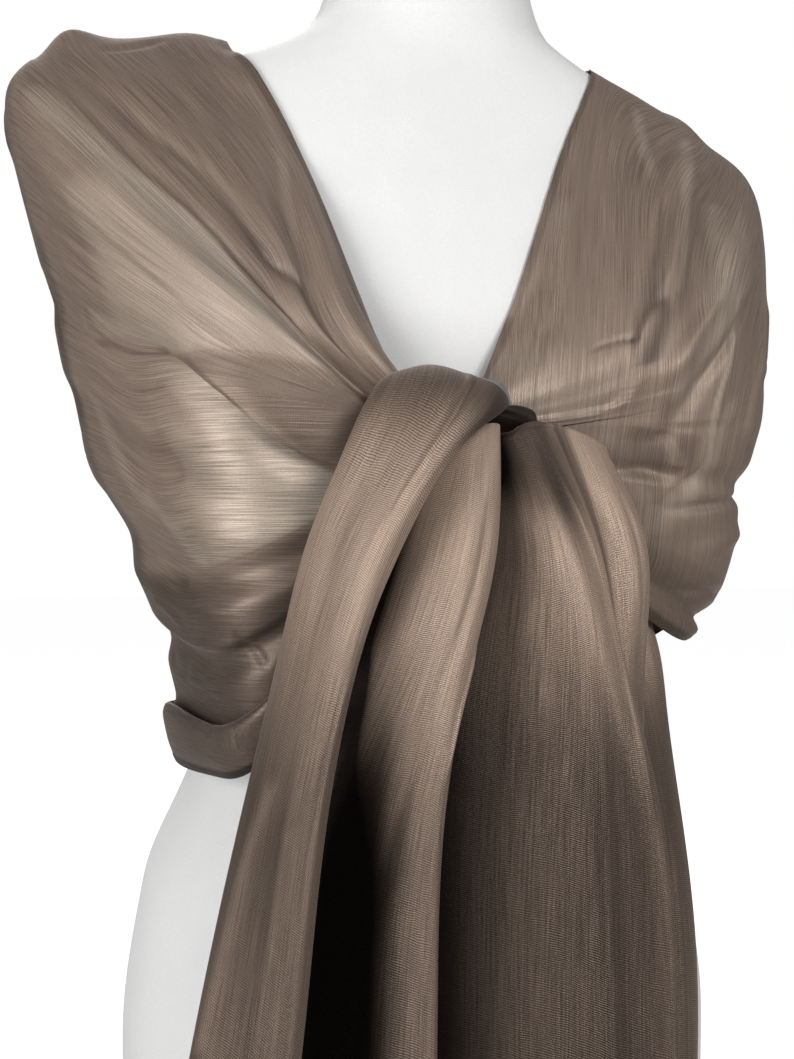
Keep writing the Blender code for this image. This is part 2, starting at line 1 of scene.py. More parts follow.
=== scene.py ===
# %% [markdown]
# # An evening stole on a dress form
# This file dresses a fixed CAD model.  The stole is one long oblong of fine
# half-sheer cloth.  It lies over the shoulders of a limbless dress form, and its
# ends go through each other once on the chest, as in the first half of a bow.
# Sizes are metres, Z is up and the front looks along -Y.

# %% Load the fixed frame
import json

import bmesh
import bpy
import numpy as np
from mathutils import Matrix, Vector
from mathutils.bvhtree import BVHTree

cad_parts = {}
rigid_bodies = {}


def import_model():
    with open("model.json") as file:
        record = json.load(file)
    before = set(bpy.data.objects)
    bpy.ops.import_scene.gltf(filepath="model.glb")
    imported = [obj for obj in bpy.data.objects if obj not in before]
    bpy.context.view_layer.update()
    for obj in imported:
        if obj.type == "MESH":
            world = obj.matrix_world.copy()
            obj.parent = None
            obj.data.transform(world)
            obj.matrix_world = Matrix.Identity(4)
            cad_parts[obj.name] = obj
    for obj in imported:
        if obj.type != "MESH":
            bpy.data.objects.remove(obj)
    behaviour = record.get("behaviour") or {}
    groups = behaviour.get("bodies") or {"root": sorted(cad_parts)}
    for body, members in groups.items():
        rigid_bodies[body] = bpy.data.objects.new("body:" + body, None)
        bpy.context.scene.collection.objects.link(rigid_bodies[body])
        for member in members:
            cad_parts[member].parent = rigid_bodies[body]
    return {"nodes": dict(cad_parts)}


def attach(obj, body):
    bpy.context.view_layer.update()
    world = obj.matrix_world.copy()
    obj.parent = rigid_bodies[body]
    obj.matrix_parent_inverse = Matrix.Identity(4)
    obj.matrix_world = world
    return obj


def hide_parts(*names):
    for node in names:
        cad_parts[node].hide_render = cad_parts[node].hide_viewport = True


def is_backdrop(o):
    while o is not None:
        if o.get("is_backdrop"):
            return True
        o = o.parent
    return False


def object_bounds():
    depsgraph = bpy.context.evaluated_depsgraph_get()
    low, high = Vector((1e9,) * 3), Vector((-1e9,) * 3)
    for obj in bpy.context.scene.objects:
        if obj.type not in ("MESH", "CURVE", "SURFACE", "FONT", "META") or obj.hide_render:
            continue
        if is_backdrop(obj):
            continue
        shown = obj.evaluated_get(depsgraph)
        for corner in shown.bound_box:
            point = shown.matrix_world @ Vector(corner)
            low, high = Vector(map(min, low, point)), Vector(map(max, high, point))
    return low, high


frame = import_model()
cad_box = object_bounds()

print("nodes:", sorted(frame["nodes"]))
print("CAD box:", [[round(x, 4) for x in corner] for corner in cad_box])

# %% [markdown]
# ## Camera
# The camera stands at chest height, a little to the wearer's right, and looks
# level, so upright edges stay upright.  A lens of about 50 mm at this distance
# gives the mild perspective that makes the near tails look large.

# %% Place the camera
STAND, LOOK = (-0.2935, -0.7979, 0.44), (0.3256, 0.9455, 0.0)
FOCAL, FRAME_HIGH, SENSOR = 1487.5, 1059, 36.0    # pixels, pixels, mm

camera = bpy.data.objects.new("camera", bpy.data.cameras.new("camera"))
camera.location = STAND
camera.rotation_euler = Vector(LOOK).to_track_quat("-Z", "Y").to_euler()
camera.data.sensor_width = SENSOR
camera.data.lens = FOCAL / FRAME_HIGH * SENSOR
camera.data.clip_start = 0.01
bpy.context.scene.collection.objects.link(camera)
bpy.context.scene.camera = camera
print("lens:", round(camera.data.lens, 2), "mm")

# %% [markdown]
# ## Helpers for materials
# Every material below is wired by hand from the same few parts: noise, sums,
# ranges and mixes.  Each part gets one short function here, so the recipes that
# follow read as what they do and not as how nodes are joined.

# %% Parts of a material
def new_material(name):
    material = bpy.data.materials.new(name)
    material.use_nodes = True
    return material, material.node_tree.nodes, material.node_tree.links


def fill(node, **values):
    """Sets a node's inputs by name, with _ for each space."""
    for label, value in values.items():
        node.inputs[label.replace("_", " ")].default_value = value


def math_node(tree, kind, first, second=None, clamp=False):
    node = tree.nodes.new("ShaderNodeMath")
    node.operation, node.use_clamp = kind, clamp
    for socket, value in zip(node.inputs, (first, second)):
        if isinstance(value, (int, float)):
            socket.default_value = value
        elif value is not None:
            tree.links.new(value, socket)
    return node.outputs[0]


def weighted(tree, *terms, clamp=False):
    """Sum of (value, weight) terms."""
    total = math_node(tree, "MULTIPLY", *terms[0])
    for index, term in enumerate(terms[1:], 2):
        part = math_node(tree, "MULTIPLY", *term)
        total = math_node(tree, "ADD", total, part, clamp and index == len(terms))
    return total


def noise(tree, vector, stretch, detail=2.0, rough=0.5, twist=0.0, scale=1.0):
    """Noise over a vector that is first multiplied by stretch."""
    longer = tree.nodes.new("ShaderNodeVectorMath")
    longer.operation = "MULTIPLY"
    tree.links.new(vector, longer.inputs[0])
    longer.inputs[1].default_value = stretch
    node = tree.nodes.new("ShaderNodeTexNoise")
    fill(node, Scale=scale, Detail=detail, Roughness=rough, Distortion=twist)
    tree.links.new(longer.outputs[0], node.inputs["Vector"])
    return node.outputs["Fac"]


def spread(tree, value, low, high, to_low=0.0, to_high=1.0):
    """Maps low..high to to_low..to_high and holds the ends."""
    node = tree.nodes.new("ShaderNodeMapRange")
    node.clamp = True
    fill(node, From_Min=low, From_Max=high, To_Min=to_low, To_Max=to_high)
    tree.links.new(value, node.inputs["Value"])
    return node.outputs["Result"]


def tinted(tree, mask, low, high):
    """Mixes two colours by a mask."""
    node = tree.nodes.new("ShaderNodeMix")
    node.data_type = "RGBA"
    for socket, value in zip((node.inputs[6], node.inputs[7]), (low, high)):
        if isinstance(value, tuple):
            socket.default_value = (*value, 1.0)
        else:
            tree.links.new(value, socket)
    tree.links.new(mask, node.inputs[0])
    return node.outputs[2]


def bumped(material, height, strength, distance):
    """Lets a height shape the surface of a material."""
    nodes, links = material.node_tree.nodes, material.node_tree.links
    bump = nodes.new("ShaderNodeBump")
    fill(bump, Strength=strength, Distance=distance)
    links.new(height, bump.inputs["Height"])
    links.new(bump.outputs["Normal"], nodes["Principled BSDF"].inputs["Normal"])


# %% Parts of a group
def new_group(name, inputs, outputs):
    """A group with named sockets: an input with no value takes a vector."""
    group = bpy.data.node_groups.new(name, "ShaderNodeTree")
    for label, value in inputs.items():
        kind = "NodeSocketVector" if value is None else "NodeSocketFloat"
        socket = group.interface.new_socket(label, in_out="INPUT", socket_type=kind)
        if value is not None:
            socket.default_value = value
    for label in outputs:
        group.interface.new_socket(label, in_out="OUTPUT", socket_type="NodeSocketFloat")
    start, end = group.nodes.new("NodeGroupInput"), group.nodes.new("NodeGroupOutput")
    return group, start.outputs, end.inputs


def placed_group(tree, group):
    node = tree.nodes.new("ShaderNodeGroup")
    node.node_tree = group
    return node


# %% [markdown]
# ## Floor, air and lights
# A white form on a white ground shows its shape only by soft shade.  A softbox
# stands in front at the right, above head height, so each fold that turns to the
# left goes dark.  Weak lights at the left and back keep every side readable.  The
# floor shows the eye a little light of its own, so it stays pale far from the lamps.

# %% The floor
FLOOR_HALF, FLOOR_DROP, FLOOR_GLOW = 9.0, 0.0003, 0.85

floor_mesh = bpy.data.meshes.new("floor")
bm = bmesh.new()
bmesh.ops.create_grid(bm, x_segments=2, y_segments=2, size=FLOOR_HALF)
bmesh.ops.translate(bm, verts=bm.verts, vec=(0, 0, -FLOOR_DROP))
bm.to_mesh(floor_mesh)
bm.free()
floor = bpy.data.objects.new("floor", floor_mesh)
bpy.context.scene.collection.objects.link(floor)
paint, nodes, links = new_material("pale_floor")
shader = nodes["Principled BSDF"]
fill(shader, Base_Color=(0.60, 0.60, 0.59, 1), Roughness=0.9, Emission_Color=(1, 1, 1, 1))
eye = nodes.new("ShaderNodeLightPath").outputs["Is Camera Ray"]
glow = math_node(paint.node_tree, "MULTIPLY", eye, FLOOR_GLOW)
links.new(glow, shader.inputs["Emission Strength"])
floor_mesh.materials.append(paint)
floor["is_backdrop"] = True
print("floor:", len(floor_mesh.polygons), "faces")

# %% The air: white to the eye, softer as a light
world = bpy.data.worlds.new("studio_air")
bpy.context.scene.world = world
world.use_nodes = True
air = world.node_tree
air.nodes.clear()
seen = air.nodes.new("ShaderNodeLightPath")
either = air.nodes.new("ShaderNodeMixShader")
air.links.new(seen.outputs["Is Camera Ray"], either.inputs["Fac"])
for socket, colour, strength in ((1, (0.97, 0.98, 1.0, 1), 0.22), (2, (1, 1, 1, 1), 1.0)):
    sky = air.nodes.new("ShaderNodeBackground")
    fill(sky, Color=colour, Strength=strength)
    air.links.new(sky.outputs[0], either.inputs[socket])
    print("air strength", strength)
air.links.new(either.outputs[0], air.nodes.new("ShaderNodeOutputWorld").inputs["Surface"])
bpy.context.scene.view_settings.view_transform = "Standard"

# %% The lamps
# name, place, what it looks at, width, height, watts, colour
LAMPS = (
    ("right_softbox", (0.38, -1.52, 1.16), (0.0, -0.10, 0.45), 0.75, 0.6, 21.5, (1, 0.985, 0.965)),
    ("left_fill", (-1.45, -1.00, 0.55), (0.0, -0.05, 0.40), 0.9, 1.0, 29.0, (1, 0.99, 0.98)),
    ("back_light", (0.20, 1.60, 1.40), (0.0, 0.0, 0.45), 1.2, 0.9, 8.0, (1, 1, 1)),
)
for name, place, target, width, height, watts, colour in LAMPS:
    lamp = bpy.data.lights.new(name, "AREA")
    lamp.shape, lamp.size, lamp.size_y = "RECTANGLE", width, height
    lamp.energy, lamp.color = watts, colour
    holder = bpy.data.objects.new(name, lamp)
    holder.location = place
    holder.rotation_euler = (Vector(target) - Vector(place)).to_track_quat("-Z", "Y").to_euler()
    bpy.context.scene.collection.objects.link(holder)
    print(name, watts, "W")

# %% [markdown]
# ## Shared effects, as node groups
# Cloth of this kind has three scales of detail.  Uneven yarns give long streaks
# along its length, thicker weft yarns give fine ribs across it, and the weave is
# open enough for a white form to show through one layer.  Each effect is a group
# with named sockets, so every material can use it with its own values.  The
# groups read the cut of the cloth in metres, so a streak follows each fold.

# %% Yarn streaks: long fine lines and a few thick slubs along the cloth
streaks, start, end = new_group("yarn_streaks", {"Cut": None}, ("Fine", "Slub", "Shade"))
fine = noise(streaks, start["Cut"], (26, 1250, 1), 3.0, 0.60)
grain = noise(streaks, start["Cut"], (700, 1900, 1), 1.0)
uneven = math_node(streaks, "MULTIPLY", math_node(streaks, "SUBTRACT", grain, 0.5), 0.22)
fine = math_node(streaks, "ADD", fine, uneven)
slub = noise(streaks, start["Cut"], (16, 260, 1), 2.0, 0.55, 0.15)
shade = noise(streaks, start["Cut"], (5, 34, 1), 3.0, 0.55, 0.3)
for label, mask, low, high in (("Fine", fine, 0.36, 0.66), ("Slub", slub, 0.54, 0.74),
                               ("Shade", shade, 0.28, 0.72)):
    streaks.links.new(spread(streaks, mask, low, high), end[label])
print("yarn_streaks:", len(streaks.nodes), "nodes")

# %% Weft ribs: fine lines across the cloth, broken up yarn by yarn
FULL_TURN = 6.28319
ribs, start, end = new_group("weft_ribs", {"Cut": None, "Spacing": 0.00105}, ("Rib",))
parts = ribs.nodes.new("ShaderNodeSeparateXYZ")
ribs.links.new(start["Cut"], parts.inputs[0])
wander = math_node(ribs, "MULTIPLY", noise(ribs, start["Cut"], (60, 60, 1)), 3.0)
count = math_node(ribs, "DIVIDE", parts.outputs["X"], start["Spacing"])
count = math_node(ribs, "ADD", count, wander)
wave = math_node(ribs, "SINE", math_node(ribs, "MULTIPLY", count, FULL_TURN))
wave = math_node(ribs, "ADD", math_node(ribs, "MULTIPLY", wave, 0.5), 0.5)
broken = spread(ribs, noise(ribs, start["Cut"], (700, 1300, 1), 1.0), 0.25, 0.65, 0.45, 1.0)
ribs.links.new(math_node(ribs, "MULTIPLY", wave, broken), end["Rib"])
print("weft_ribs:", len(ribs.nodes), "nodes")

# %% Open weave: how much of what lies behind is hidden
weave, start, end = new_group(
    "open_weave", {"Layers": 1.0, "Streak": 0.5, "Slub": 0.0, "Gap": 0.45}, ("Cover",))
gap = start["Gap"]
for mask, at_none, at_full in ((start["Streak"], 1.18, 0.80), (start["Slub"], 1.0, 0.72)):
    gap = math_node(weave, "MULTIPLY", gap, spread(weave, mask, 0.0, 1.0, at_none, at_full))
passed = math_node(weave, "POWER", gap, start["Layers"])
passed = spread(weave, passed, 0.08, 0.35, 0.0, 0.35)    # two layers hide nearly all
weave.links.new(math_node(weave, "SUBTRACT", 1.0, passed, clamp=True), end["Cover"])
print("open_weave:", len(weave.nodes), "nodes")

# %% Nap: the short pile of velvet, brushed here and there
nap, start, end = new_group("velvet_nap", {"Place": None}, ("Pile", "Brushed"))
nap.links.new(noise(nap, start["Place"], (1.0, 1.0, 1.0), 1.0, scale=1500.0), end["Pile"])
brushed = noise(nap, start["Place"], (1.0, 1.0, 0.55), 3.0, 0.6, 0.8, 26.0)
nap.links.new(spread(nap, brushed, 0.30, 0.70), end["Brushed"])
print("velvet_nap:", len(nap.nodes), "nodes")

# %% [markdown]
# ## The cloth's finish
# The yarn is a taupe brown with a soft pink-tan shine.  One layer over the white
# form looks beige, two look brown and the gathered tails hide all behind them,
# so how many layers lie together is stored on the cloth and sets its cover.  The
# same count sets painted light and shade: one layer gets a painted glow of the
# white form, and a high count a painted near-black shade.  The wrap and the tails
# share every group; the tails have the stronger ribs.

# %% Make the finish of the wrap and of the tails
# Painted light: one layer gets a lighter colour that stands in for the light the
# white form sends back through it.  Painted shade: a high count of layers turns the
# colour nearly black, which stands in for the shade in hollows and deep folds.
PAINTED_GLOW_DARK, PAINTED_GLOW_LIGHT, PAINTED_DEEP_SHADE = (0.200, 0.162, 0.128), (0.520, 0.434, 0.350), (0.012, 0.009, 0.008)
GAP, SLUB_TONE = 0.30, -0.10


def stole_finish(name, dark, light, rib_relief, rib_tone, streak_tone, shade_tone):
    material, nodes, links = new_material(name)
    tree, shader = material.node_tree, nodes["Principled BSDF"]
    cut, attribute = nodes.new("ShaderNodeUVMap"), nodes.new("ShaderNodeAttribute")
    cut.uv_map, attribute.attribute_name = "cut", "layers"
    lines, rib, cover = (placed_group(tree, group) for group in (streaks, ribs, weave))
    layers, yarns, rib_mask = attribute.outputs["Fac"], lines.outputs, rib.outputs["Rib"]
    for source, target in (
        (cut.outputs["UV"], lines.inputs["Cut"]), (cut.outputs["UV"], rib.inputs["Cut"]),
        (layers, cover.inputs["Layers"]), (yarns["Fine"], cover.inputs["Streak"]),
        (yarns["Slub"], cover.inputs["Slub"]), (cover.outputs["Cover"], shader.inputs["Alpha"]),
    ):
        links.new(source, target)
    fill(cover, Gap=GAP)
    tone = weighted(tree, (yarns["Fine"], streak_tone), (yarns["Shade"], shade_tone),
                    (rib_mask, rib_tone), (yarns["Slub"], SLUB_TONE), clamp=True)
    # Masks for the painted glow of one layer and for the painted shade of a high count
    form_glow_mask, deep_shade_mask = spread(tree, layers, 1.0, 1.9, 1.0, 0.0), spread(tree, layers, 2.4, 6.0)
    painted_form_glow = tinted(tree, tone, PAINTED_GLOW_DARK, PAINTED_GLOW_LIGHT)
    yarn_and_shade = tinted(tree, deep_shade_mask, tinted(tree, tone, dark, light), PAINTED_DEEP_SHADE)
    links.new(tinted(tree, form_glow_mask, yarn_and_shade, painted_form_glow), shader.inputs["Base Color"])
    # Metallic rises with the painted shade, so the shaded hollows lose their shine too
    links.new(spread(tree, deep_shade_mask, 0.0, 1.0, 0.35, 1.0), shader.inputs["Metallic"])
    links.new(spread(tree, yarns["Fine"], 0.0, 1.0, 0.56, 0.44), shader.inputs["Roughness"])
    height = weighted(tree, (rib_mask, rib_relief), (yarns["Fine"], 0.25), (yarns["Slub"], 0.35))
    bumped(material, height, 0.55, 0.00028)
    fill(shader, Specular_IOR_Level=0.45, Sheen_Weight=0.20, Sheen_Roughness=0.35,
         Sheen_Tint=(1.0, 0.82, 0.73, 1.0))
    print(name, "gap", GAP, "rib relief", rib_relief)
    return material


wrap_finish = stole_finish(
    "stole_cloth_wrap", (0.086, 0.060, 0.046), (0.262, 0.198, 0.157),
    rib_relief=0.25, rib_tone=0.10, streak_tone=0.66, shade_tone=0.24)
# The tails are the same yarn, given a lighter top colour than the wrap: painted light, so the
# hanging tails read as more brightly lit.
tail_finish = stole_finish(
    "stole_cloth_tails", (0.062, 0.041, 0.030), (0.575, 0.428, 0.334),
    rib_relief=1.0, rib_tone=0.66, streak_tone=0.32, shade_tone=0.10)

# %% [markdown]
# ## The form's finish
# White velvet is nearly a flat white in front and glows at its rim, because its
# pile stands up.  Sheen does that.  A fine bump gives the pile and a broad soft
# mask gives the places where a hand has brushed it the other way.

# %% Make the velvet
velvet, nodes, links = new_material("form_velvet")
tree, shader = velvet.node_tree, nodes["Principled BSDF"]
pile = placed_group(tree, nap)
links.new(nodes.new("ShaderNodeTexCoord").outputs["Object"], pile.inputs["Place"])
white = tinted(tree, pile.outputs["Brushed"], (0.570, 0.574, 0.578), (0.615, 0.617, 0.617))
speck = spread(tree, pile.outputs["Pile"], 0.3, 0.7)
links.new(tinted(tree, speck, (0.550, 0.554, 0.560), white), shader.inputs["Base Color"])
fill(shader, Roughness=0.95, Specular_IOR_Level=0.2, Sheen_Weight=0.70, Sheen_Roughness=0.5)
height = weighted(tree, (pile.outputs["Brushed"], 0.4), (pile.outputs["Pile"], 1.0))
bumped(velvet, height, 0.35, 0.0004)
print("form_velvet: sheen", round(shader.inputs["Sheen Weight"].default_value, 2))

# %% [markdown]
# ## Curves through named sizes
# Every sheet below is a plain grid whose points are moved to places worked out
# from short tables.  Two curves do that: a spline, which is roundest, for the
# sweep of the cloth, and an eased curve, which never overshoots, for its folds.

# %% The spline and the eased curve
def spline(xs, ys, t):
    """Natural cubic spline through rows of ys, read at the values t."""
    xs, ys, t = (np.asarray(values, float) for values in (xs, ys, t))
    n = len(xs)
    h = np.diff(xs)
    lhs = np.zeros((n, n))
    rhs = np.zeros((n, ys[0].size))
    flat = ys.reshape(n, -1)
    lhs[0, 0] = lhs[-1, -1] = 1.0
    for i in range(1, n - 1):
        lhs[i, i - 1:i + 2] = h[i - 1], 2 * (h[i - 1] + h[i]), h[i]
        rhs[i] = 6 * ((flat[i + 1] - flat[i]) / h[i] - (flat[i] - flat[i - 1]) / h[i - 1])
    bend = np.linalg.solve(lhs, rhs)
    k = np.clip(np.searchsorted(xs, t, side="right") - 1, 0, n - 2)
    a = ((xs[k + 1] - t) / h[k])[:, None]
    b = 1.0 - a
    curve = ((a**3 - a) * bend[k] + (b**3 - b) * bend[k + 1]) * (h[k][:, None] ** 2 / 6)
    return (a * flat[k] + b * flat[k + 1] + curve).reshape((len(t),) + ys.shape[1:])


def eased(xs, ys, t):
    """Smooth curve through rows of ys that never overshoots them."""
    xs, ys, t = (np.asarray(values, float) for values in (xs, ys, t))
    shape = (-1,) + (1,) * (ys.ndim - 1)
    rise = np.diff(ys, axis=0) / np.diff(xs).reshape(shape)
    slope = np.zeros_like(ys)
    same = rise[:-1] * rise[1:] > 0
    both = np.where(same, rise[:-1] + rise[1:], 1.0)
    slope[1:-1] = np.where(same, 2 * rise[:-1] * rise[1:] / both, 0.0)
    slope[0], slope[-1] = rise[0], rise[-1]
    k = np.clip(np.searchsorted(xs, t, side="right") - 1, 0, len(xs) - 2)
    s = ((t - xs[k]) / np.diff(xs)[k]).reshape(shape)
    w = np.diff(xs)[k].reshape(shape)
    low = ys[k] * (1 + 2 * s) * (1 - s) ** 2 + slope[k] * w * s * (1 - s) ** 2
    high = ys[k + 1] * s * s * (3 - 2 * s) + slope[k + 1] * w * s * s * (s - 1)
    return low + high


def smooth_step(value, low, high):
    t = np.clip((value - low) / (high - low), 0, 1)
    return t * t * (3 - 2 * t)


# %% [markdown]
# ## The dress form
# The form is a smooth padded bust with no limbs, covered in white velvet.  It
# could be sculpted, but a stack of rounded cross-sections is easier to measure
# and mend.  The bmesh starts as one circle, which is extruded upwards ring by
# ring, and each ring is moved to the width, depth and squareness of its height.

# %% Sizes of the form
# height, half width, sideways lean, depth to the front, depth to the back, squareness
FORM_SECTIONS = (
    (0, .154, -.005, .098, .11, 2.2),
    (.012, .158, -.005, .101, .113, 2.2),
    (.08, .165, -.005, .108, .121, 2.2),
    (.165, .167, -.005, .11, .122, 2.2),
    (.25, .156, -.005, .1, .106, 2.2),
    (.335, .127, -.003, .088, .087, 2.2),
    (.41, .131, -.001, .095, .084, 2.2),
    (.48, .148, 0, .116, .088, 2.2),
    (.54, .16, 0, .116, .094, 2.3),
    (.6, .176, 0, .097, .094, 2.4),
    (.638, .182, 0, .08, .086, 2.4),
    (.668, .166, 0, .066, .076, 2.3),
    (.688, .132, 0, .057, .068, 2.2),
    (.703, .097, 0, .052, .062, 2.1),
    (.722, .068, 0, .05, .057, 2),
    (.75, .058, 0, .051, .055, 2),
    (.784, .056, 0, .052, .055, 2),
    (.79, .052, 0, .049, .051, 2),
)

# %% Extrude the form ring by ring
def ring_place(turn, size):
    z, half, lean, front, back, square = size
    c, s = np.cos(turn), np.sin(turn)
    x = lean + half * np.sign(c) * abs(c) ** (2 / square)
    return x, (front if s < 0 else back) * np.sign(s) * abs(s) ** (2 / square), z


def build_form(around, levels):
    sections = np.array(FORM_SECTIONS)
    between = np.linspace(0.02, 0.784, levels)
    heights = np.concatenate([[0.0, 0.003, 0.012], between, [0.788, 0.790]])
    sizes = np.column_stack([heights, eased(sections[:, 0], sections[:, 1:], heights)])
    bm = bmesh.new()
    ring = bmesh.ops.create_circle(bm, segments=around, radius=1.0)["verts"]
    for index, size in enumerate(sizes):
        for step, vert in enumerate(ring):
            vert.co = ring_place(2 * np.pi * step / around, size)
        if index + 1 < len(sizes):
            edges = dict.fromkeys(edge for vert in ring for edge in vert.link_edges)
            edges = [edge for edge in edges if (edge.is_boundary or edge.is_wire)
                     and all(vert in ring for vert in edge.verts)]
            made = bmesh.ops.extrude_edge_only(bm, edges=edges)["geom"]
            grown = {v for v in made if isinstance(v, bmesh.types.BMVert)}
            ring = [next(e.other_vert(v) for e in v.link_edges if e.other_vert(v) in grown)
                    for v in ring]
    rims = [edge for edge in bm.edges if edge.is_boundary]
    caps = bmesh.ops.holes_fill(bm, edges=rims, sides=around)["faces"]
    bmesh.ops.inset_region(bm, faces=caps, thickness=0.004, use_even_offset=True)
    bmesh.ops.recalc_face_normals(bm, faces=bm.faces)
    mesh = bpy.data.meshes.new("form_body")
    bm.to_mesh(mesh)
    bm.free()
    return mesh


def from_lowest(corners):
    """A face's corners from the lowest number on, so each run gives the same tree."""
    start = corners.index(min(corners))
    return corners[start:] + corners[:start]


form_mesh = build_form(around=96, levels=104)
form = bpy.data.objects.new("form_body", form_mesh)
bpy.context.scene.collection.objects.link(form)
form_mesh.materials.append(velvet)
for face in form_mesh.polygons:
    face.use_smooth = len(face.vertices) == 4
faces = sorted(from_lowest(list(face.vertices)) for face in form_mesh.polygons)
form_tree = BVHTree.FromPolygons([vert.co for vert in form_mesh.vertices], faces)
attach(form, "root")
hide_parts("dress_form")
print("form_body:", len(form_mesh.polygons), "faces")

# %% [markdown]
# ## A sheet of cloth
# Each stretch of the stole starts as one plane grid.  A cloth simulation could
# drop it on the form, but the folds that matter here are the ones a hand has
# laid, so they are placed one by one instead.  The grid keeps two stores: the UV map
# "cut", which is where each point lies on the flat cloth in metres, and "layers",
# which is how many layers of cloth lie together there, with painted shade and light
# added to that count where the finish should look darker or lighter.

# %% Turn a grid into a finished sheet
def cloth_sheet(name, places, cut, layers, finish, join_sides=False):
    """places is a grid of points, cut the same grid on the flat cloth, in metres."""
    rows, cols = places.shape[:2]
    bm = bmesh.new()
    bmesh.ops.create_grid(bm, x_segments=cols - 1, y_segments=rows - 1, size=0.5)
    bm.verts.ensure_lookup_table()
    span = np.array([v.co[:2] for v in bm.verts]) + 0.5
    col, row = np.rint(span * (cols - 1, rows - 1)).astype(int).T
    uv = bm.loops.layers.uv.new("cut")
    # The layers store also carries the painted shade and light of the tables
    count = bm.verts.layers.float.new("layers")
    for face in bm.faces:
        face.smooth = True
        for loop in face.loops:
            i = loop.vert.index
            loop[uv].uv = cut[row[i], col[i]]
    for i, vert in enumerate(bm.verts):
        vert.co = places[row[i], col[i]]
        vert[count] = layers[row[i], col[i]]
    if join_sides:
        bmesh.ops.remove_doubles(bm, verts=bm.verts, dist=1e-5)
        bmesh.ops.recalc_face_normals(bm, faces=bm.faces)
    mesh = bpy.data.meshes.new(name)
    bm.to_mesh(mesh)
    bm.free()
    mesh.materials.append(finish)
    piece = bpy.data.objects.new(name, mesh)
    bpy.context.scene.collection.objects.link(piece)
    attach(piece, "root")
    return piece


def grid_normals(places):
    n = np.cross(np.gradient(places, axis=0), np.gradient(places, axis=1))
    return n / np.maximum(np.linalg.norm(n, axis=2, keepdims=True), 1e-12)


# %% [markdown]
# ## Creases and soft ridges
# Real creases are uneven: each starts and ends in nothing, bends, and has its own
# depth.  So each is one row of a table: a path over the cloth, half its width and
# its height, which is negative for a trough.  A point of the cloth is lifted by
# how near it is to the path.

# %% Strokes over a grid: how strongly each point feels each path
def to_segment(across, along, first, last):
    """How far each point's nearest place is along a straight line, and how far off."""
    (a0, b0), (a1, b1) = first, last
    da, db = a1 - a0, b1 - b0
    t = ((across - a0) * da + (along - b0) * db) / max(da * da + db * db, 1e-12)
    t = np.clip(t, 0, 1)
    return t, np.hypot(across - a0 - t * da, along - b0 - t * db)


PATH_STEPS = 24
MM = 0.001      # the tables give lifts and widths in millimetres


def stroke(across, along, path, half, sharp=1.0, taper=0.25):
    """1 on the path, fading to 0 at about twice half from it and at both its ends.
    On the left of the path it fades over half times sharp, and taper is the share
    of the path that each end takes to fade."""
    path = np.array(path, float)
    if len(path) > 2:
        path = spline(np.linspace(0, 1, len(path)), path, np.linspace(0, 1, PATH_STEPS))
    best = np.full(across.shape, 1e9)
    where = np.zeros(across.shape)
    left = np.zeros(across.shape, bool)
    for k, (first, last) in enumerate(zip(path[:-1], path[1:])):
        t, gap = to_segment(across, along, first, last)
        nearer = gap < best
        best = np.where(nearer, gap, best)
        da, db = last - first
        left = np.where(nearer, da * (along - first[1]) > db * (across - first[0]), left)
        where = np.where(nearer, (k + t) / (len(path) - 1), where)
    ends = np.clip(np.minimum(where, 1 - where) / taper, 0, 1)
    half = np.where(left, half * sharp, half)
    return np.exp(-((best / half) ** 2)) * ends * ends * (3 - 2 * ends)


def creased(across, along, table, in_metres):
    """Height of all the creases of a table.  in_metres places a path on the cloth."""
    lift = np.zeros(across.shape)
    for path, half, height, *sharp in table:
        lift += height * stroke(across, along, in_metres(path), half * MM, *sharp)
    return lift * MM


# %% Patches over a grid: how far inside a closed outline each point is
def patch(across, along, outline, soft):
    """1 inside the outline and 0 outside it, with an edge about soft metres wide."""
    outline = np.array(outline, float)
    inside = np.zeros(across.shape, bool)
    gap = np.full(across.shape, 1e9)
    for first, last in zip(outline, np.roll(outline, -1, axis=0)):
        gap = np.minimum(gap, to_segment(across, along, first, last)[1])
        da, db = last - first
        crosses = (first[1] > along) != (last[1] > along)
        inside ^= crosses & (across < first[0] + (along - first[1]) * da / (db if db else 1e-12))
    return 1 / (1 + np.exp(np.clip(np.where(inside, -gap, gap) / (0.25 * soft), -60, 60)))


# %% [markdown]
# ## The wrap
# From the knot the cloth goes over each shoulder and round the back.  It is made
# as one sheet with no seam, because the real one has none.  Strands say where the
# cloth would lie without folds: u runs from a knot mouth at 0 to the centre of
# the back at 0.5, and v from the neck edge at 0 to the lower edge at 1.

# %% Strands of the wrap
# Stations along each half: knot mouth, front, front of the side, side, back of
# the side, centre of the back.
STATIONS = (0.0, 0.07, 0.145, 0.25, 0.36, 0.5)

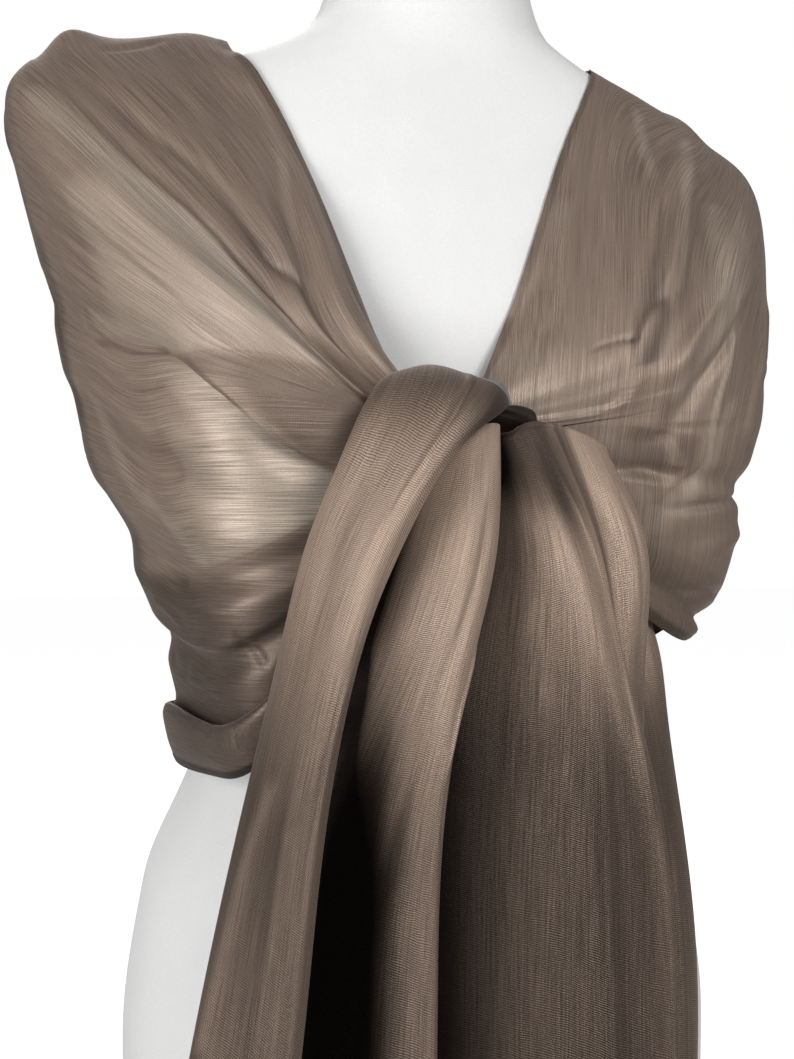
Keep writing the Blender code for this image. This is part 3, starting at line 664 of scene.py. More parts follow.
# Share of the width from the neck edge, then (x, y, z) at the first five stations
RIGHT_STRANDS = (
    (0, (-.064, -.13, .508), (-.082, -.117, .562), (-.098, -.076, .632), (-.118, 0, .714),
     (-.07, .066, .714)),
    (.12, (-.056, -.135, .503), (-.1, -.13, .553), (-.142, -.085, .626), (-.185, .003, .699),
     (-.125, .082, .686)),
    (.25, (-.052, -.1375, .498), (-.118, -.138, .54), (-.18, -.09, .602), (-.23, -.002, .675),
     (-.16, .094, .645)),
    (.4, (-.05, -.1385, .492), (-.125, -.141, .522), (-.185, -.095, .56), (-.226, -.005, .612),
     (-.158, .098, .585)),
    (.55, (-.05, -.138, .486), (-.13, -.14, .495), (-.178, -.096, .51), (-.209, -.008, .545),
     (-.148, .095, .53)),
    (.7, (-.05, -.137, .479), (-.13, -.136, .462), (-.166, -.093, .458), (-.19, -.01, .475),
     (-.137, .088, .468)),
    (.82, (-.054, -.135, .47), (-.127, -.13, .425), (-.152, -.09, .412), (-.166, -.012, .425),
     (-.123, .08, .41)),
    (.9, (-.052, -.134, .462), (-.122, -.126, .392), (-.143, -.088, .374), (-.151, -.015, .385),
     (-.116, .076, .37)),
    (1, (-.048, -.132, .452), (-.114, -.122, .345), (-.136, -.085, .32), (-.146, -.015, .318),
     (-.112, .076, .322)),
)
LEFT_STRANDS = (
    (0, (-.02, -.128, .51), (.012, -.106, .572), (.048, -.066, .64), (.094, 0, .713),
     (.066, .066, .712)),
    (.12, (-.016, -.136, .506), (.055, -.126, .565), (.108, -.085, .632), (.154, 0, .688),
     (.11, .08, .686)),
    (.25, (-.016, -.1395, .501), (.085, -.138, .545), (.152, -.09, .602), (.192, -.002, .655),
     (.138, .092, .645)),
    (.4, (-.016, -.1399, .495), (.105, -.14, .522), (.162, -.093, .56), (.204, -.003, .602),
     (.145, .096, .585)),
    (.55, (-.015, -.1399, .488), (.11, -.139, .497), (.16, -.093, .515), (.203, -.005, .545),
     (.145, .095, .53)),
    (.7, (-.014, -.141, .481), (.11, -.136, .47), (.143, -.091, .468), (.179, -.008, .485),
     (.136, .088, .468)),
    (.82, (-.013, -.139, .474), (.1, -.13, .448), (.131, -.088, .432), (.161, -.01, .44),
     (.123, .08, .415)),
    (.9, (-.012, -.137, .466), (.093, -.127, .42), (.125, -.087, .405), (.152, -.012, .41),
     (.116, .077, .375)),
    (1, (-.012, -.135, .458), (.083, -.121, .389), (.117, -.088, .387), (.142, -.015, .38),
     (.112, .076, .34)),
)
# Both halves meet here, at the centre of the back
BACK_CENTRE = (
    (0, .078, .7), (0, .096, .665), (0, .112, .62), (0, .118, .565), (0, .118, .51),
    (0, .112, .455), (0, .104, .4), (0, .102, .36), (0, .104, .325),
)
RIGHT_STRANDS, LEFT_STRANDS = (
    [(*row, middle) for row, middle in zip(strands, BACK_CENTRE)]
    for strands in (RIGHT_STRANDS, LEFT_STRANDS))
print("strands:", len(RIGHT_STRANDS), "and", len(LEFT_STRANDS))

# %% [markdown]
# A second pair of tables folds the strands.  Each row is one fold line: its share
# of the width at six stations along the cloth, and its lift in millimetres.  Where
# the shares go down again from one row to the next, the cloth doubles back under
# itself, which makes the two pleats that run out of the knot.

# %% Fold lines of the wrap
FOLD_STATIONS = (0.0, 0.055, 0.095, 0.135, 0.200, 0.320)

RIGHT_FOLDS = (
    # neck edge, turned facing along it and the groove under the facing
    ((0, 0, 0, 0, 0, 0), (0, 0, 0, 0, 0, 0)),
    ((.2, .11, .05, .03, .03, .03), (2, 3, 3, 2, 1, 0)),
    ((.38, .2, .1, .07, .07, .06), (-2, -3, -2, 0, 0, 0)),
    # soft roll beside the facing, then the long crease from the shoulder
    ((.45, .25, .14, .125, .12, .12), (2, 3, 2, 1, 1, 0)),
    ((.55, .32, .228, .218, .208, .2), (-2, -4, -4, -3, -1, 0)),
    ((.6, .38, .31, .29, .28, .28), (2, 3, 4, 3, 2, 0)),
    ((.66, .48, .4, .38, .38, .37), (2, 3, 2, 0, 0, 0)),
    # pleat: the upper layer folds back under itself and comes down again
    ((.74, .6, .485, .43, .42, .41), (2, 4, 3, 1, 0, 0)),
    ((.78, .635, .52, .46, .445, .43), (2, 3, 3, 0, 0, 0)),
    ((.79, .645, .532, .48, .46, .45), (1, 1, 1, -1, 0, 0)),
    ((.78, .63, .52, .49, .475, .47), (-1, -1, -1, -2, 0, 0)),
    ((.62, .435, .47, .5, .49, .49), (-1, -1, -2, -3, -1, 0)),
    ((.61, .42, .462, .51, .505, .51), (-2, -3, -3, -3, -2, 0)),
    ((.62, .435, .475, .52, .52, .53), (-2, -5, -4, -2, -2, -1)),
    ((.8, .66, .57, .55, .55, .56), (-2, -4, -2, 0, 1, 1)),
    # slack front below the pleat
    ((.84, .72, .65, .615, .59, .6), (-1, 0, 1, 2, 2, 1)),
    ((.87, .77, .715, .665, .62, .64), (0, 1, 0, -1, -.5, 0)),
    ((.89, .8, .765, .735, .7, .7), (1, 3, 3, 2, 2, 1)),
    ((.91, .835, .815, .805, .79, .78), (0, 0, -2, -2, -2, -1)),
    # three gathered tiers at the lower edge
    ((.93, .87, .85, .845, .84, .83), (1, 4, 6, 7, 7, 3)),
    ((.94, .893, .88, .877, .877, .865), (1, 3, 5, 7, 7, 2)),
    ((.945, .9, .89, .886, .888, .885), (0, 0, 0, 1, 1, -1)),
    ((.95, .912, .9, .898, .9, .905), (-1, -1, -1, -1, -1, -2)),
    ((.957, .93, .924, .922, .924, .925), (0, 1, 2, 3, 3, 1)),
    ((.963, .953, .96, .96, .96, .945), (-1, 0, 0, 0, 0, -1)),
    ((.966, .958, .967, .968, .968, .955), (0, 1, 2, 2, 2, -1)),
    ((.968, .95, .954, .954, .954, .962), (1, 4, 5, 5, 5, 0)),
    ((.972, .947, .95, .95, .95, .97), (2, 6, 7, 7, 7, 2)),
    ((.978, .955, .958, .958, .958, .98), (2, 8, 10, 10, 10, 3)),
    ((.99, .978, .98, .98, .98, .99), (1, 6, 8, 9, 8, 2)),
    ((1, 1, 1, 1, 1, 1), (0, 2, 3, 4, 3, 0)),
)
LEFT_FOLDS = (
    ((0, 0, 0, 0, 0, 0), (0, 0, 0, 0, 0, 0)),
    ((.12, .07, .05, .04, .03, .03), (1, 1, 1, 1, 1, 0)),
    ((.26, .17, .12, .1, .08, .08), (0, -.3, -1, -1, -1, 0)),
    ((.33, .23, .17, .14, .12, .12), (0, .3, 2, 3, 2, 0)),
    ((.4, .29, .21, .18, .17, .17), (0, -.4, -2, -3, -2, 0)),
    ((.44, .35, .28, .25, .24, .24), (0, .3, 2, 3, 2, 0)),
    ((.47, .41, .36, .34, .33, .33), (0, 0, 0, 1, 0, 0)),
    # folded hem running out of the knot, over the slack cloth below it
    ((.52, .44, .425, .42, .42, .41), (1, .2, 0, 0, 0, 0)),
    ((.56, .462, .445, .44, .44, .43), (1, .1, 0, 0, 0, 0)),
    ((.57, .48, .466, .46, .46, .46), (1, 0, 0, 0, 0, 0)),
    ((.56, .498, .486, .48, .48, .48), (-1, 0, 0, 0, 0, 0)),
    ((.52, .514, .504, .5, .5, .5), (-1, 0, 0, 0, 0, 0)),
    ((.515, .53, .522, .52, .52, .52), (-1, -.1, 0, 0, 1, 0)),
    ((.54, .55, .548, .55, .55, .56), (-1, -.2, 0, 1, 1, 1)),
    ((.64, .58, .58, .6, .6, .61), (-1, -1, 0, 2, 2, 1)),
    ((.74, .68, .66, .66, .66, .66), (-1, -1, 0, 0, 0, -1)),
    ((.8, .74, .72, .72, .72, .72), (-1, -2, -3, -4, -4, -2)),
    # gathered roll at the lower edge and the small roll tucked under it
    ((.84, .79, .775, .77, .765, .77), (1, 2, 4, 6, 5, 2)),
    ((.88, .845, .84, .835, .83, .83), (1, 4, 7, 10, 9, 3)),
    ((.92, .9, .9, .9, .9, .89), (1, 4, 6, 7, 6, 2)),
    ((.94, .935, .937, .937, .937, .93), (0, 0, 0, 0, 0, 0)),
    ((.955, .95, .95, .95, .95, .95), (-1, -2, -2, -2, -2, -1)),
    ((.975, .975, .975, .975, .975, .975), (0, 2, 3, 3, 3, 1)),
    ((1, 1, 1, 1, 1, 1), (0, 0, 0, 0, 0, 0)),
)
print("fold lines:", len(RIGHT_FOLDS), "and", len(LEFT_FOLDS))

# %% [markdown]
# Then come the smaller creases, as strokes over the (v, u) grid in metres, and the
# soft folds of the back, where nothing doubles over.

# %% Small creases of the wrap
# Soft folds down the back: share of the width, half width, lift in mm
BACK_FOLDS = (
    (.1, .035, 2.5),
    (.27, .05, 3.5),
    (.45, .05, 3),
    (.63, .05, 3.5),
    (.79, .04, 3),
    (.92, .03, 3),
)
# Small peak on the right shoulder: place along and across, half widths, height
PEAK = (0.262, 0.150, 0.024, 0.032, 0.010)
# path of (u, v), half width in mm, height in mm, how much wider on its left
RIGHT_CREASES = (
    # the two long sharp creases from the shoulder into the knot
    (((.3, .2), (.24, .212), (.205, .216), (.166, .224), (.138, .222), (.113, .221), (.087, .242),
      (.07, .266), (.051, .325), (.024, .428)), 1.6, 2.2, 6),
    (((.26, .19), (.2, .185), (.159, .172), (.133, .156), (.11, .163), (.087, .18), (.07, .186),
      (.034, .328)), 5, -2.4),
    (((.15, .004), (.1, .08), (.076, .129), (.039, .274)), 1.2, 1, 4),
    (((.19, .2), (.152, .196), (.118, .196), (.085, .22)), 3, 1.2),
    (((.175, .03), (.14, .075), (.11, .12), (.085, .165)), 5, 1.2),
    (((.19, .105), (.15, .118), (.12, .14)), 4, -1),
    (((.22, .33), (.18, .345), (.14, .36), (.1, .395)), 5.5, 1.3),
    (((.225, .4), (.19, .405), (.16, .4)), 3.5, -1.2),
    (((.23, .62), (.2, .6), (.165, .612), (.135, .64)), 6, 1.6),
    (((.24, .69), (.205, .7), (.18, .735), (.15, .76)), 4.5, -1.5),
    (((.1, .87), (.088, .895), (.074, .93)), 2.2, -1.8),
    (((.215, .855), (.19, .85), (.16, .862)), 3, 1.2),
    (((.245, .915), (.215, .922), (.185, .915)), 3, -1.3),
    (((.262, .48), (.24, .52), (.222, .575)), 5, -1.6),
    (((.285, .25), (.262, .3), (.25, .365)), 5, 1.4),
    (((.29, .62), (.27, .68), (.262, .745)), 5.5, 1.7),
    (((.238, .06), (.225, .095), (.222, .14)), 4, -1.6),
    (((.28, .07), (.292, .12), (.288, .175)), 4, -1.4),
    (((.19, -.02), (.24, -.02), (.3, -.01), (.37, -.01)), 16, -9),
    (((.24, -.01), (.3, -.01), (.38, -.01), (.46, -.01)), 15, -8),
)
LEFT_CREASES = (
    (((.24, -.01), (.3, -.01), (.38, -.01), (.46, -.01)), 15, -8),
    (((.19, -.02), (.24, -.02), (.3, -.01), (.37, -.01)), 16, -9),
    # folds that hang from the arm
    (((.15, .215), (.11, .245), (.082, .27), (.06, .33), (.045, .48)), 7, 2.6),
    (((.125, .3), (.095, .325), (.068, .385), (.052, .5), (.047, .64)), 5, -2.6),
    (((.11, .42), (.095, .52), (.085, .64)), 8, 2.4),
    (((.04, .56), (.038, .68), (.041, .79)), 7, -2.8),
    (((.175, .15), (.135, .172), (.1, .19), (.078, .235)), 4, -1.8),
    (((.2, .055), (.15, .095), (.105, .15), (.07, .19)), 4, 1.8),
    (((.16, .14), (.128, .15), (.096, .162)), 3, 1.2),
    (((.15, .2), (.12, .205), (.1, .222)), 3, -1.4),
    (((.1, .285), (.08, .375), (.068, .505), (.06, .655), (.054, .745), (.042, .845)), 2.4, .7),
    (((.036, .195), (.041, .205), (.047, .219), (.051, .245)), 2, -.9),
    # edge of the cloth that comes down from the arm, and the hem beside the knot
    (((.076, .168), (.057, .214), (.045, .284), (.035, .42), (.027, .5)), 1.6, 1.8, 5),
    (((.003, .508), (.014, .51), (.028, .494)), 1.6, 1, 3),
    (((.13, .33), (.112, .42), (.106, .52)), 6, 1.6),
    (((.15, .56), (.128, .6), (.11, .655)), 5, -1.6),
    (((.19, .43), (.165, .47), (.15, .53)), 5, 1.3),
    (((.225, .24), (.2, .3), (.19, .37)), 5, -1.4),
    (((.165, .715), (.135, .722), (.1, .752), (.07, .8), (.044, .85)), 4, -2.6),
    (((.14, .79), (.11, .81), (.085, .85), (.06, .9)), 7, 2.2),
    (((.13, .9), (.095, .905), (.064, .94)), 3.5, -2.2),
    (((.25, .7), (.225, .735), (.195, .745)), 5, 1.5),
    (((.285, .42), (.262, .48), (.255, .55)), 5, -1.5),
)
# the same on the wearer's back, u counted on past 0.5 to the left side
BACK_CREASES = (
    (((.36, .15), (.42, .178), (.5, .186), (.58, .176), (.64, .15)), 7, 1.6),
    (((.34, .35), (.4, .372), (.47, .362)), 5, -1.5),
    (((.54, .34), (.6, .372), (.66, .352)), 6, 1.6),
    (((.38, .545), (.44, .528), (.52, .54)), 5, 1.4),
    (((.56, .56), (.62, .548), (.67, .57)), 5, -1.5),
    (((.33, .74), (.39, .722), (.46, .735)), 5, -1.6),
    (((.5, .7), (.57, .712), (.64, .7)), 4.5, 1.5),
    (((.36, .88), (.43, .862), (.51, .872)), 4, 1.3),
    (((.55, .88), (.61, .868), (.66, .885)), 4, -1.3),
    (((.44, .03), (.5, .045), (.57, .03)), 4, -1.2),
)
print("creases:", len(RIGHT_CREASES), "and", len(LEFT_CREASES), "and", len(BACK_CREASES))

# %% [markdown]
# How thick the cloth lies matters as much as its folds, because it sets how much
# of the form shows through.  Two layers are the rule.  The same count also sets
# painted light and shade: thin places get the painted glow of the form and thick
# ones painted shade, so these tables also place painted shade in hollows, creases
# and turned-away edges and painted highlights on ridges.  Patches have a clear
# edge, and soft lines have none.

# %% How thick the wrap lies, and where shade and light are painted on it
# Lower edges where more layers lie together, also painted darker: (u, from v) stations, layers
# added
RIGHT_BAND = (((0, .8), (.1, .8), (.3, .84), (.5, .9)), 2.1)
LEFT_BAND = (((0, .9), (.1, .88), (.3, .86), (.5, .9)), 1)
# Outline of (u, v), softness of the edge in mm, layers added, and for a patch that
# fades out along the cloth the u where it is full and where it is gone
RIGHT_PATCHES = (
    # turned facing beside the neck edge
    (((.15, -.05), (.15, .004), (.1, .08), (.076, .129), (.068, .152), (.039, .274), (.026, .362),
      (-.01, .46), (-.01, -.05)), 1.5, .15),
    # pleat between the two long creases
    (((.165, .208), (.115, .203), (.051, .33), (.024, .428), (-.01, .52), (-.01, .4), (.034, .328),
      (.065, .158), (.118, .164), (.15, .186)), 2.5, .8),
    # face of the lower pleat
    (((.118, .494), (.104, .51), (.074, .573), (.037, .716), (-.01, .79), (-.01, .43), (.035, .42),
      (.051, .4)), 4, 1.3),
    # open cloth above it and the one thin layer below it
    (((.18, .34), (.15, .24), (.115, .19), (.051, .315), (.01, .44), (.035, .42), (.051, .4),
      (.118, .49), (.16, .49)), 14, -.5),
    (((.14, .505), (.109, .505), (.089, .535), (.063, .593), (.049, .659), (.03, .7), (-.01, .75),
      (-.01, .825), (.041, .83), (.053, .86), (.063, .866), (.082, .858), (.11, .848), (.135, .83),
      (.165, .8), (.175, .7), (.165, .6)), 4, -.95, .075, .165),
)
LEFT_PATCHES = (
    # band of thin cloth beside the knot
    (((.03, -.05), (.03, .139), (.043, .284), (.034, .438), (.028, .487), (.009, .521), (-.01, .5),
      (-.01, -.05)), 16, -.3),
    # loose cloth over the arm side
    (((.16, .215), (.085, .244), (.045, .438), (.051, .48), (.089, .335)), 14, -.45),
    (((.041, .759), (.055, .724), (.061, .836), (.047, .889)), 12, -.5),
    # painted shade in the hollow under the fold from the arm
    (((.034, .556), (.034, .785), (.046, .822), (.055, .726), (.058, .6)), 9, 1.5),
    (((.136, .047), (.143, .093), (.057, .216), (.047, .158)), 14, .35),
)
# Soft lines of painted shade along creases and edges that turn away, and of painted
# highlight along ridges: path, half width in mm, layers added
RIGHT_SOFT_SHADING = (
    (((.235, .262), (.19, .252), (.165, .25), (.138, .246), (.113, .248), (.087, .272),
      (.05, .37)), 9, -.75),
    (((.2, .512), (.172, .502), (.136, .482), (.104, .462)), 7, -.5),
    (((.235, .768), (.209, .782), (.173, .803), (.15, .819)), 5, .55),
    (((.205, .59), (.19, .655), (.18, .7), (.168, .745)), 10, -.4),
    (((.19, .52), (.175, .555), (.155, .59), (.14, .64), (.125, .69)), 8, .5),
    (((.185, .53), (.147, .514), (.124, .49)), 2.5, 1.5),
    (((.2, .02), (.15, .026), (.115, .068), (.082, .133), (.045, .275)), 5, -.32),
    (((.215, .19), (.19, .184), (.159, .172), (.133, .156), (.11, .163), (.087, .18)), 8, .6),
    (((.11, .163), (.087, .18), (.07, .186), (.034, .328), (.02, .4)), 2.4, .9),
    (((.175, .204), (.152, .196), (.125, .19), (.1, .198), (.08, .222), (.06, .275)), 2.6, -.35),
    (((.2, .212), (.166, .219), (.138, .217), (.113, .216), (.087, .237), (.07, .261), (.051, .32),
      (.024, .424)), 1.5, .95),
    (((.23, .13), (.18, .12), (.11, .15)), 10, -.15),
    (((.24, .27), (.216, .335), (.203, .375), (.203, .421), (.197, .459), (.19, .499),
      (.183, .527)), 4.5, .6),
    (((.256, .2), (.25, .45), (.244, .7), (.236, .86)), 24, 2.2),
    (((.17, .7), (.15, .75), (.12, .8)), 9, -.35),
    (((.14, .555), (.113, .592), (.1, .64)), 9, .4),
    (((.226, .42), (.226, .56), (.236, .66)), 12, 1.2),
)
LEFT_SOFT_SHADING = (
    (((.195, .05), (.164, .081), (.122, .117), (.074, .173)), 4, -.45),
    (((.19, .118), (.15, .138), (.11, .158), (.07, .221)), 5, -.42),
    (((.145, .105), (.11, .128), (.08, .158)), 2.2, .6),
    (((.112, .25), (.09, .33), (.07, .45), (.062, .604), (.058, .829)), 1.6, -.7),
    (((.1, .35), (.104, .42), (.106, .52)), 7, .5),
    (((.044, .588), (.047, .648), (.05, .721)), 3, -1.6),
    (((.078, .48), (.066, .6), (.061, .72), (.059, .83)), 5, -.45),
    (((.14, .12), (.1, .145), (.078, .168), (.06, .2), (.051, .23), (.045, .3), (.037, .4),
      (.028, .5)), 6, .9),
    (((.036, .195), (.041, .205), (.047, .219), (.051, .245)), 1.8, 1.3),
    (((.072, .19), (.066, .222), (.056, .262), (.045, .33)), 5.5, 2),
    (((.15, .18), (.115, .22), (.09, .28)), 9, -.45),
    (((.12, .02), (.07, .04), (.03, .09)), 9, -.22),
    (((.23, .15), (.215, .35), (.2, .6), (.19, .85)), 12, .35),
)
print("patches:", len(RIGHT_PATCHES), "and", len(LEFT_PATCHES))
print("soft lines:", len(RIGHT_SOFT_SHADING), "and", len(LEFT_SOFT_SHADING))


# %% Functions that place the wrap
WRAP_RUN, WRAP_WIDE = 1.16, 0.46         # metres for a whole u and a whole v
BACK_FROM, BACK_FULL = 0.305, 0.465      # u where the folds of the back begin and rule
CUT_STATIONS = (0.12, 0.16, 0.20)        # u where the width of the flat cloth is read
BACK_U, NEAR_BY = 0.5, 0.004             # u at the centre of the back, a short step


def on_wrap(path):
    """Turns a path of (u, v) into metres across and along the wrap."""
    return [(v * WRAP_WIDE, u * WRAP_RUN) for u, v in path]


def wrap_metres(u, v):
    """Metres across and along the wrap for its whole grid."""
    return v * WRAP_WIDE, np.repeat(u[:, None], v.shape[1], axis=1) * WRAP_RUN


def wrap_base(strands, u, v):
    """Points of the wrap before its folds: u along the cloth, v across it."""
    across = [row[0] for row in strands]
    along = spline(STATIONS, np.array([row[1:] for row in strands]).transpose(1, 0, 2), u)
    return np.array([spline(across, column, vv) for column, vv in zip(along, v)])


def wrap_outward(strands, u, v, side):
    """Outward direction of the wrap before its folds."""
    ahead = wrap_base(strands, np.clip(u + NEAR_BY, 0, BACK_U), v)
    along = ahead - wrap_base(strands, np.clip(u - NEAR_BY, 0, BACK_U), v)
    across = wrap_base(strands, u, v + NEAR_BY) - wrap_base(strands, u, v - NEAR_BY)
    n = np.cross(across, along) * side
    return n / np.linalg.norm(n, axis=2, keepdims=True)


def fold_profile(folds, u, w):
    """(share of the width, lift) of the fold lines at each u, read at w."""
    near = np.minimum(u, FOLD_STATIONS[-1])
    rows = np.linspace(0, 1, len(folds))
    places, lifts = (eased(FOLD_STATIONS, np.array([row[part] for row in folds]).T, near)
                     for part in (0, 1))
    return [np.array([eased(rows, column, w) for column in columns])
            for columns in (places, lifts * MM)]


def back_lift(v):
    lift = np.zeros_like(v)
    for place, half, height in BACK_FOLDS:
        lift += height * np.exp(-(((v - place) / half) ** 2))
    return lift * MM


def cut_share(strands, folds, side):
    """Where each fold row lies on the flat cloth, from 0 at the neck edge to 1."""
    u, w = np.array(CUT_STATIONS), np.linspace(0, 1, 600)
    v, lift = fold_profile(folds, u, w)
    line = wrap_base(strands, u, v) + wrap_outward(strands, u, v, side) * lift[..., None]
    run = np.linalg.norm(np.diff(line, axis=1), axis=2).mean(axis=0)
    return w, np.concatenate([[0], np.cumsum(run)]) / run.sum(), run.sum()


# %% How thick one half of the wrap lies, with its painted shade and light
TWO_LAYERS, LEAST, BAND_AT_BACK, BAND_EDGE = 2.0, 0.9, 1.5, 0.004
HEM_WIDE, HEM_LAYERS = 0.0045, 1.3


def layers_and_shading_at(band, patches, shading_lines, u, v, edge):
    """edge is how far each row lies from the nearer hem, in metres."""
    width, run = wrap_metres(u, v)
    stations, added = band
    low = np.interp(u, *zip(*stations))[:, None]
    # both halves meet alike at the back
    added = BAND_AT_BACK + (added - BAND_AT_BACK) * smooth_step(u, 0.48, 0.26)[:, None]
    layers = TWO_LAYERS + added / (1 + np.exp(-(v - low) / BAND_EDGE))
    for outline, soft, added, *fade in patches:
        shown = patch(width, run, on_wrap(outline), soft * MM)
        layers += added * shown * (smooth_step(u, *fade[::-1])[:, None] if fade else 1.0)
    for path, half, added in shading_lines:
        layers += added * stroke(width, run, on_wrap(path), half * MM, taper=0.12)
    return np.maximum(layers, LEAST) + HEM_LAYERS * (edge < HEM_WIDE)[None, :]


# %% One half of the wrap
BEAD_HALF, WRAP_BEAD, TAIL_BEAD = 0.0012, 0.0005, 0.0004      # the rolled hem, in metres


def wrap_half(strands, folds, creases, band, patches, shading_lines, side, u, share):
    """Points, layers, width of the flat cloth and v; side is -1 on the right."""
    w_rows, cut_rows, wide = cut_share(strands, folds, side)
    v, lift = fold_profile(folds, u, np.interp(share, cut_rows, w_rows))
    if side < 0:
        at_u, at_v, half_u, half_v, height = PEAK
        lift = lift + height * np.exp(
            -(((u[:, None] - at_u) / half_u) ** 2) - ((v - at_v) / half_v) ** 2)
    back = smooth_step(u, BACK_FROM, BACK_FULL)[:, None]
    v = v * (1 - back) + share[None, :] * back
    lift = lift * (1 - back) + back_lift(v) * back
    width, run = wrap_metres(u, v)
    behind = BACK_CREASES if side < 0 else [
        ([(1 - a, b) for a, b in path], *sizes) for path, *sizes in BACK_CREASES]
    for table in (creases, behind):
        lift = lift + creased(width, run, table, on_wrap)
    edge = np.minimum(share, 1 - share) * wide
    lift = lift + WRAP_BEAD * np.exp(-(((edge - BEAD_HALF) / BEAD_HALF) ** 2))[None, :]
    layers = layers_and_shading_at(band, patches, shading_lines, u, v, edge)
    outward = wrap_outward(strands, u, v, side)
    return wrap_base(strands, u, v) + outward * lift[..., None], layers, wide, v


# %% Keep the cloth off the form, gently
ROOM, REACH, SOFTNESS = 0.0022, 0.02, 0.002      # metres


def clear_of(tree, places):
    """Moves what lies nearer than about ROOM out along the form's own normals."""
    out = places.copy()
    for index in np.ndindex(places.shape[:2]):
        point = Vector(places[index])
        near, normal, _, _ = tree.find_nearest(point)
        away = (point - near).dot(normal)
        if away <= REACH:
            keep = 0.5 * (away + ROOM + np.sqrt((away - ROOM) ** 2 + SOFTNESS**2))
            out[index] = np.array(point + normal * (keep - away))
    return out


# %% Turn the yarns of a stretch of cloth to follow lines of equal level
BEYOND = 1.6      # how fast yarns go on past the lowest level of their station


def lay_yarns(cut, station, level, strength):
    """level is what stays equal along a yarn, and strength is how far the yarns turn."""
    order = np.argsort(level[station])
    across = np.interp(level, level[station][order], cut[station, :, 1][order])
    across += BEYOND * np.minimum(level - level[station].min(), 0)
    cut[..., 1] += strength * (across - cut[..., 1])


# %% Build the wrap as one sheet
ALONG, ACROSS, FIRST_U = 210, 232, 0.004
YARN_WIDE, FLAT_WIDE = 0.66, 0.62      # metres of yarn across the sheet, width laid flat
EASE_ROWS, EASE_TIMES = 8, 6

share = np.linspace(0, 1, ACROSS)
u = FIRST_U + (BACK_U - FIRST_U) * np.linspace(0, 1, ALONG) ** 1.15
right, right_layers_and_shading, right_wide, right_v = wrap_half(
    RIGHT_STRANDS, RIGHT_FOLDS, RIGHT_CREASES, RIGHT_BAND, RIGHT_PATCHES, RIGHT_SOFT_SHADING, -1, u, share)
left, left_layers_and_shading, left_wide, left_v = wrap_half(
    LEFT_STRANDS, LEFT_FOLDS, LEFT_CREASES, LEFT_BAND, LEFT_PATCHES, LEFT_SOFT_SHADING, 1, u, share)
middle = (right[-1:] + left[-1:]) / 2
wrap = np.concatenate([right[:-1], middle, left[-2::-1]])
first, last = ALONG - 1 - EASE_ROWS, ALONG + EASE_ROWS
for _ in range(EASE_TIMES):      # ease the halves into each other at the back centre
    beside = wrap[first - 1:last - 1] + wrap[first + 1:last + 1]
    wrap[first:last] = (2 * wrap[first:last] + beside) / 4
wrap = clear_of(form_tree, wrap)
wrap_layers_and_shading = np.concatenate([right_layers_and_shading, left_layers_and_shading[-2::-1]])
print("wrap:", wrap.shape, "layers", wrap_layers_and_shading.min().round(2), "to", wrap_layers_and_shading.max().round(2))

# %% Lay its yarns and finish it
# Left yarns hang in lines that look straight from the camera; right ones lie level.
# The turn starts at a station on each half and fades out further along.
TURN_Z, LEFT_START, RIGHT_START = 0.56, 0.235, 0.155
steps = np.linalg.norm(np.diff(wrap[:, ACROSS // 2], axis=0), axis=1)
run = np.concatenate([[0], np.cumsum(steps)])
cut = np.stack(np.broadcast_arrays(run[:, None], share[None, :] * YARN_WIDE), axis=2).copy()
x, y, z = wrap_base(LEFT_STRANDS, u, left_v)[::-1].transpose(2, 0, 1)
hang = (0.10 + 0.35 * smooth_step(x, 0.07, 0.16)) * (z - TURN_Z)
lower = 0.3 * smooth_step(u[::-1], 0.12, 0.20)[:, None] * np.minimum(z - TURN_Z, 0)
lay_yarns(cut[-ALONG:], ALONG - 1 - int(np.searchsorted(u, LEFT_START)),
          LOOK[1] * x - LOOK[0] * y - hang - lower, smooth_step(u[::-1], 0.27, 0.20)[:, None])
level = -wrap_base(RIGHT_STRANDS, u, right_v)[..., 2]
lay_yarns(cut[:ALONG], int(np.searchsorted(u, RIGHT_START)), level,
          smooth_step(u, 0.19, 0.12)[:, None] * smooth_step(right_v, 0.44, 0.52))
wrap_piece = cloth_sheet("stole_wrap", wrap, cut, wrap_layers_and_shading, wrap_finish)
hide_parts("stole_right_front", "stole_left_front", "stole_back")

# %% [markdown]
# ## The tails and the band over the knot
# The right end of the stole comes up from behind, rolls over the knot as a smooth
# band and hangs as the outer tail.  Under it hangs an inner layer, and from the
# other side of the knot come the left tail and the layer behind it.  Each is a
# loft: table rows are fold lines from one edge to the other, and their columns run
# down the cloth.

# %% Fold lines of the tails
def levelled(heights, rows):
    """Fills in the heights that all the rows share between their two ends."""
    return [(row[0], *((x, y, z) for (x, y), z in zip(row[1:-1], heights)), row[-1])
            for row in rows]


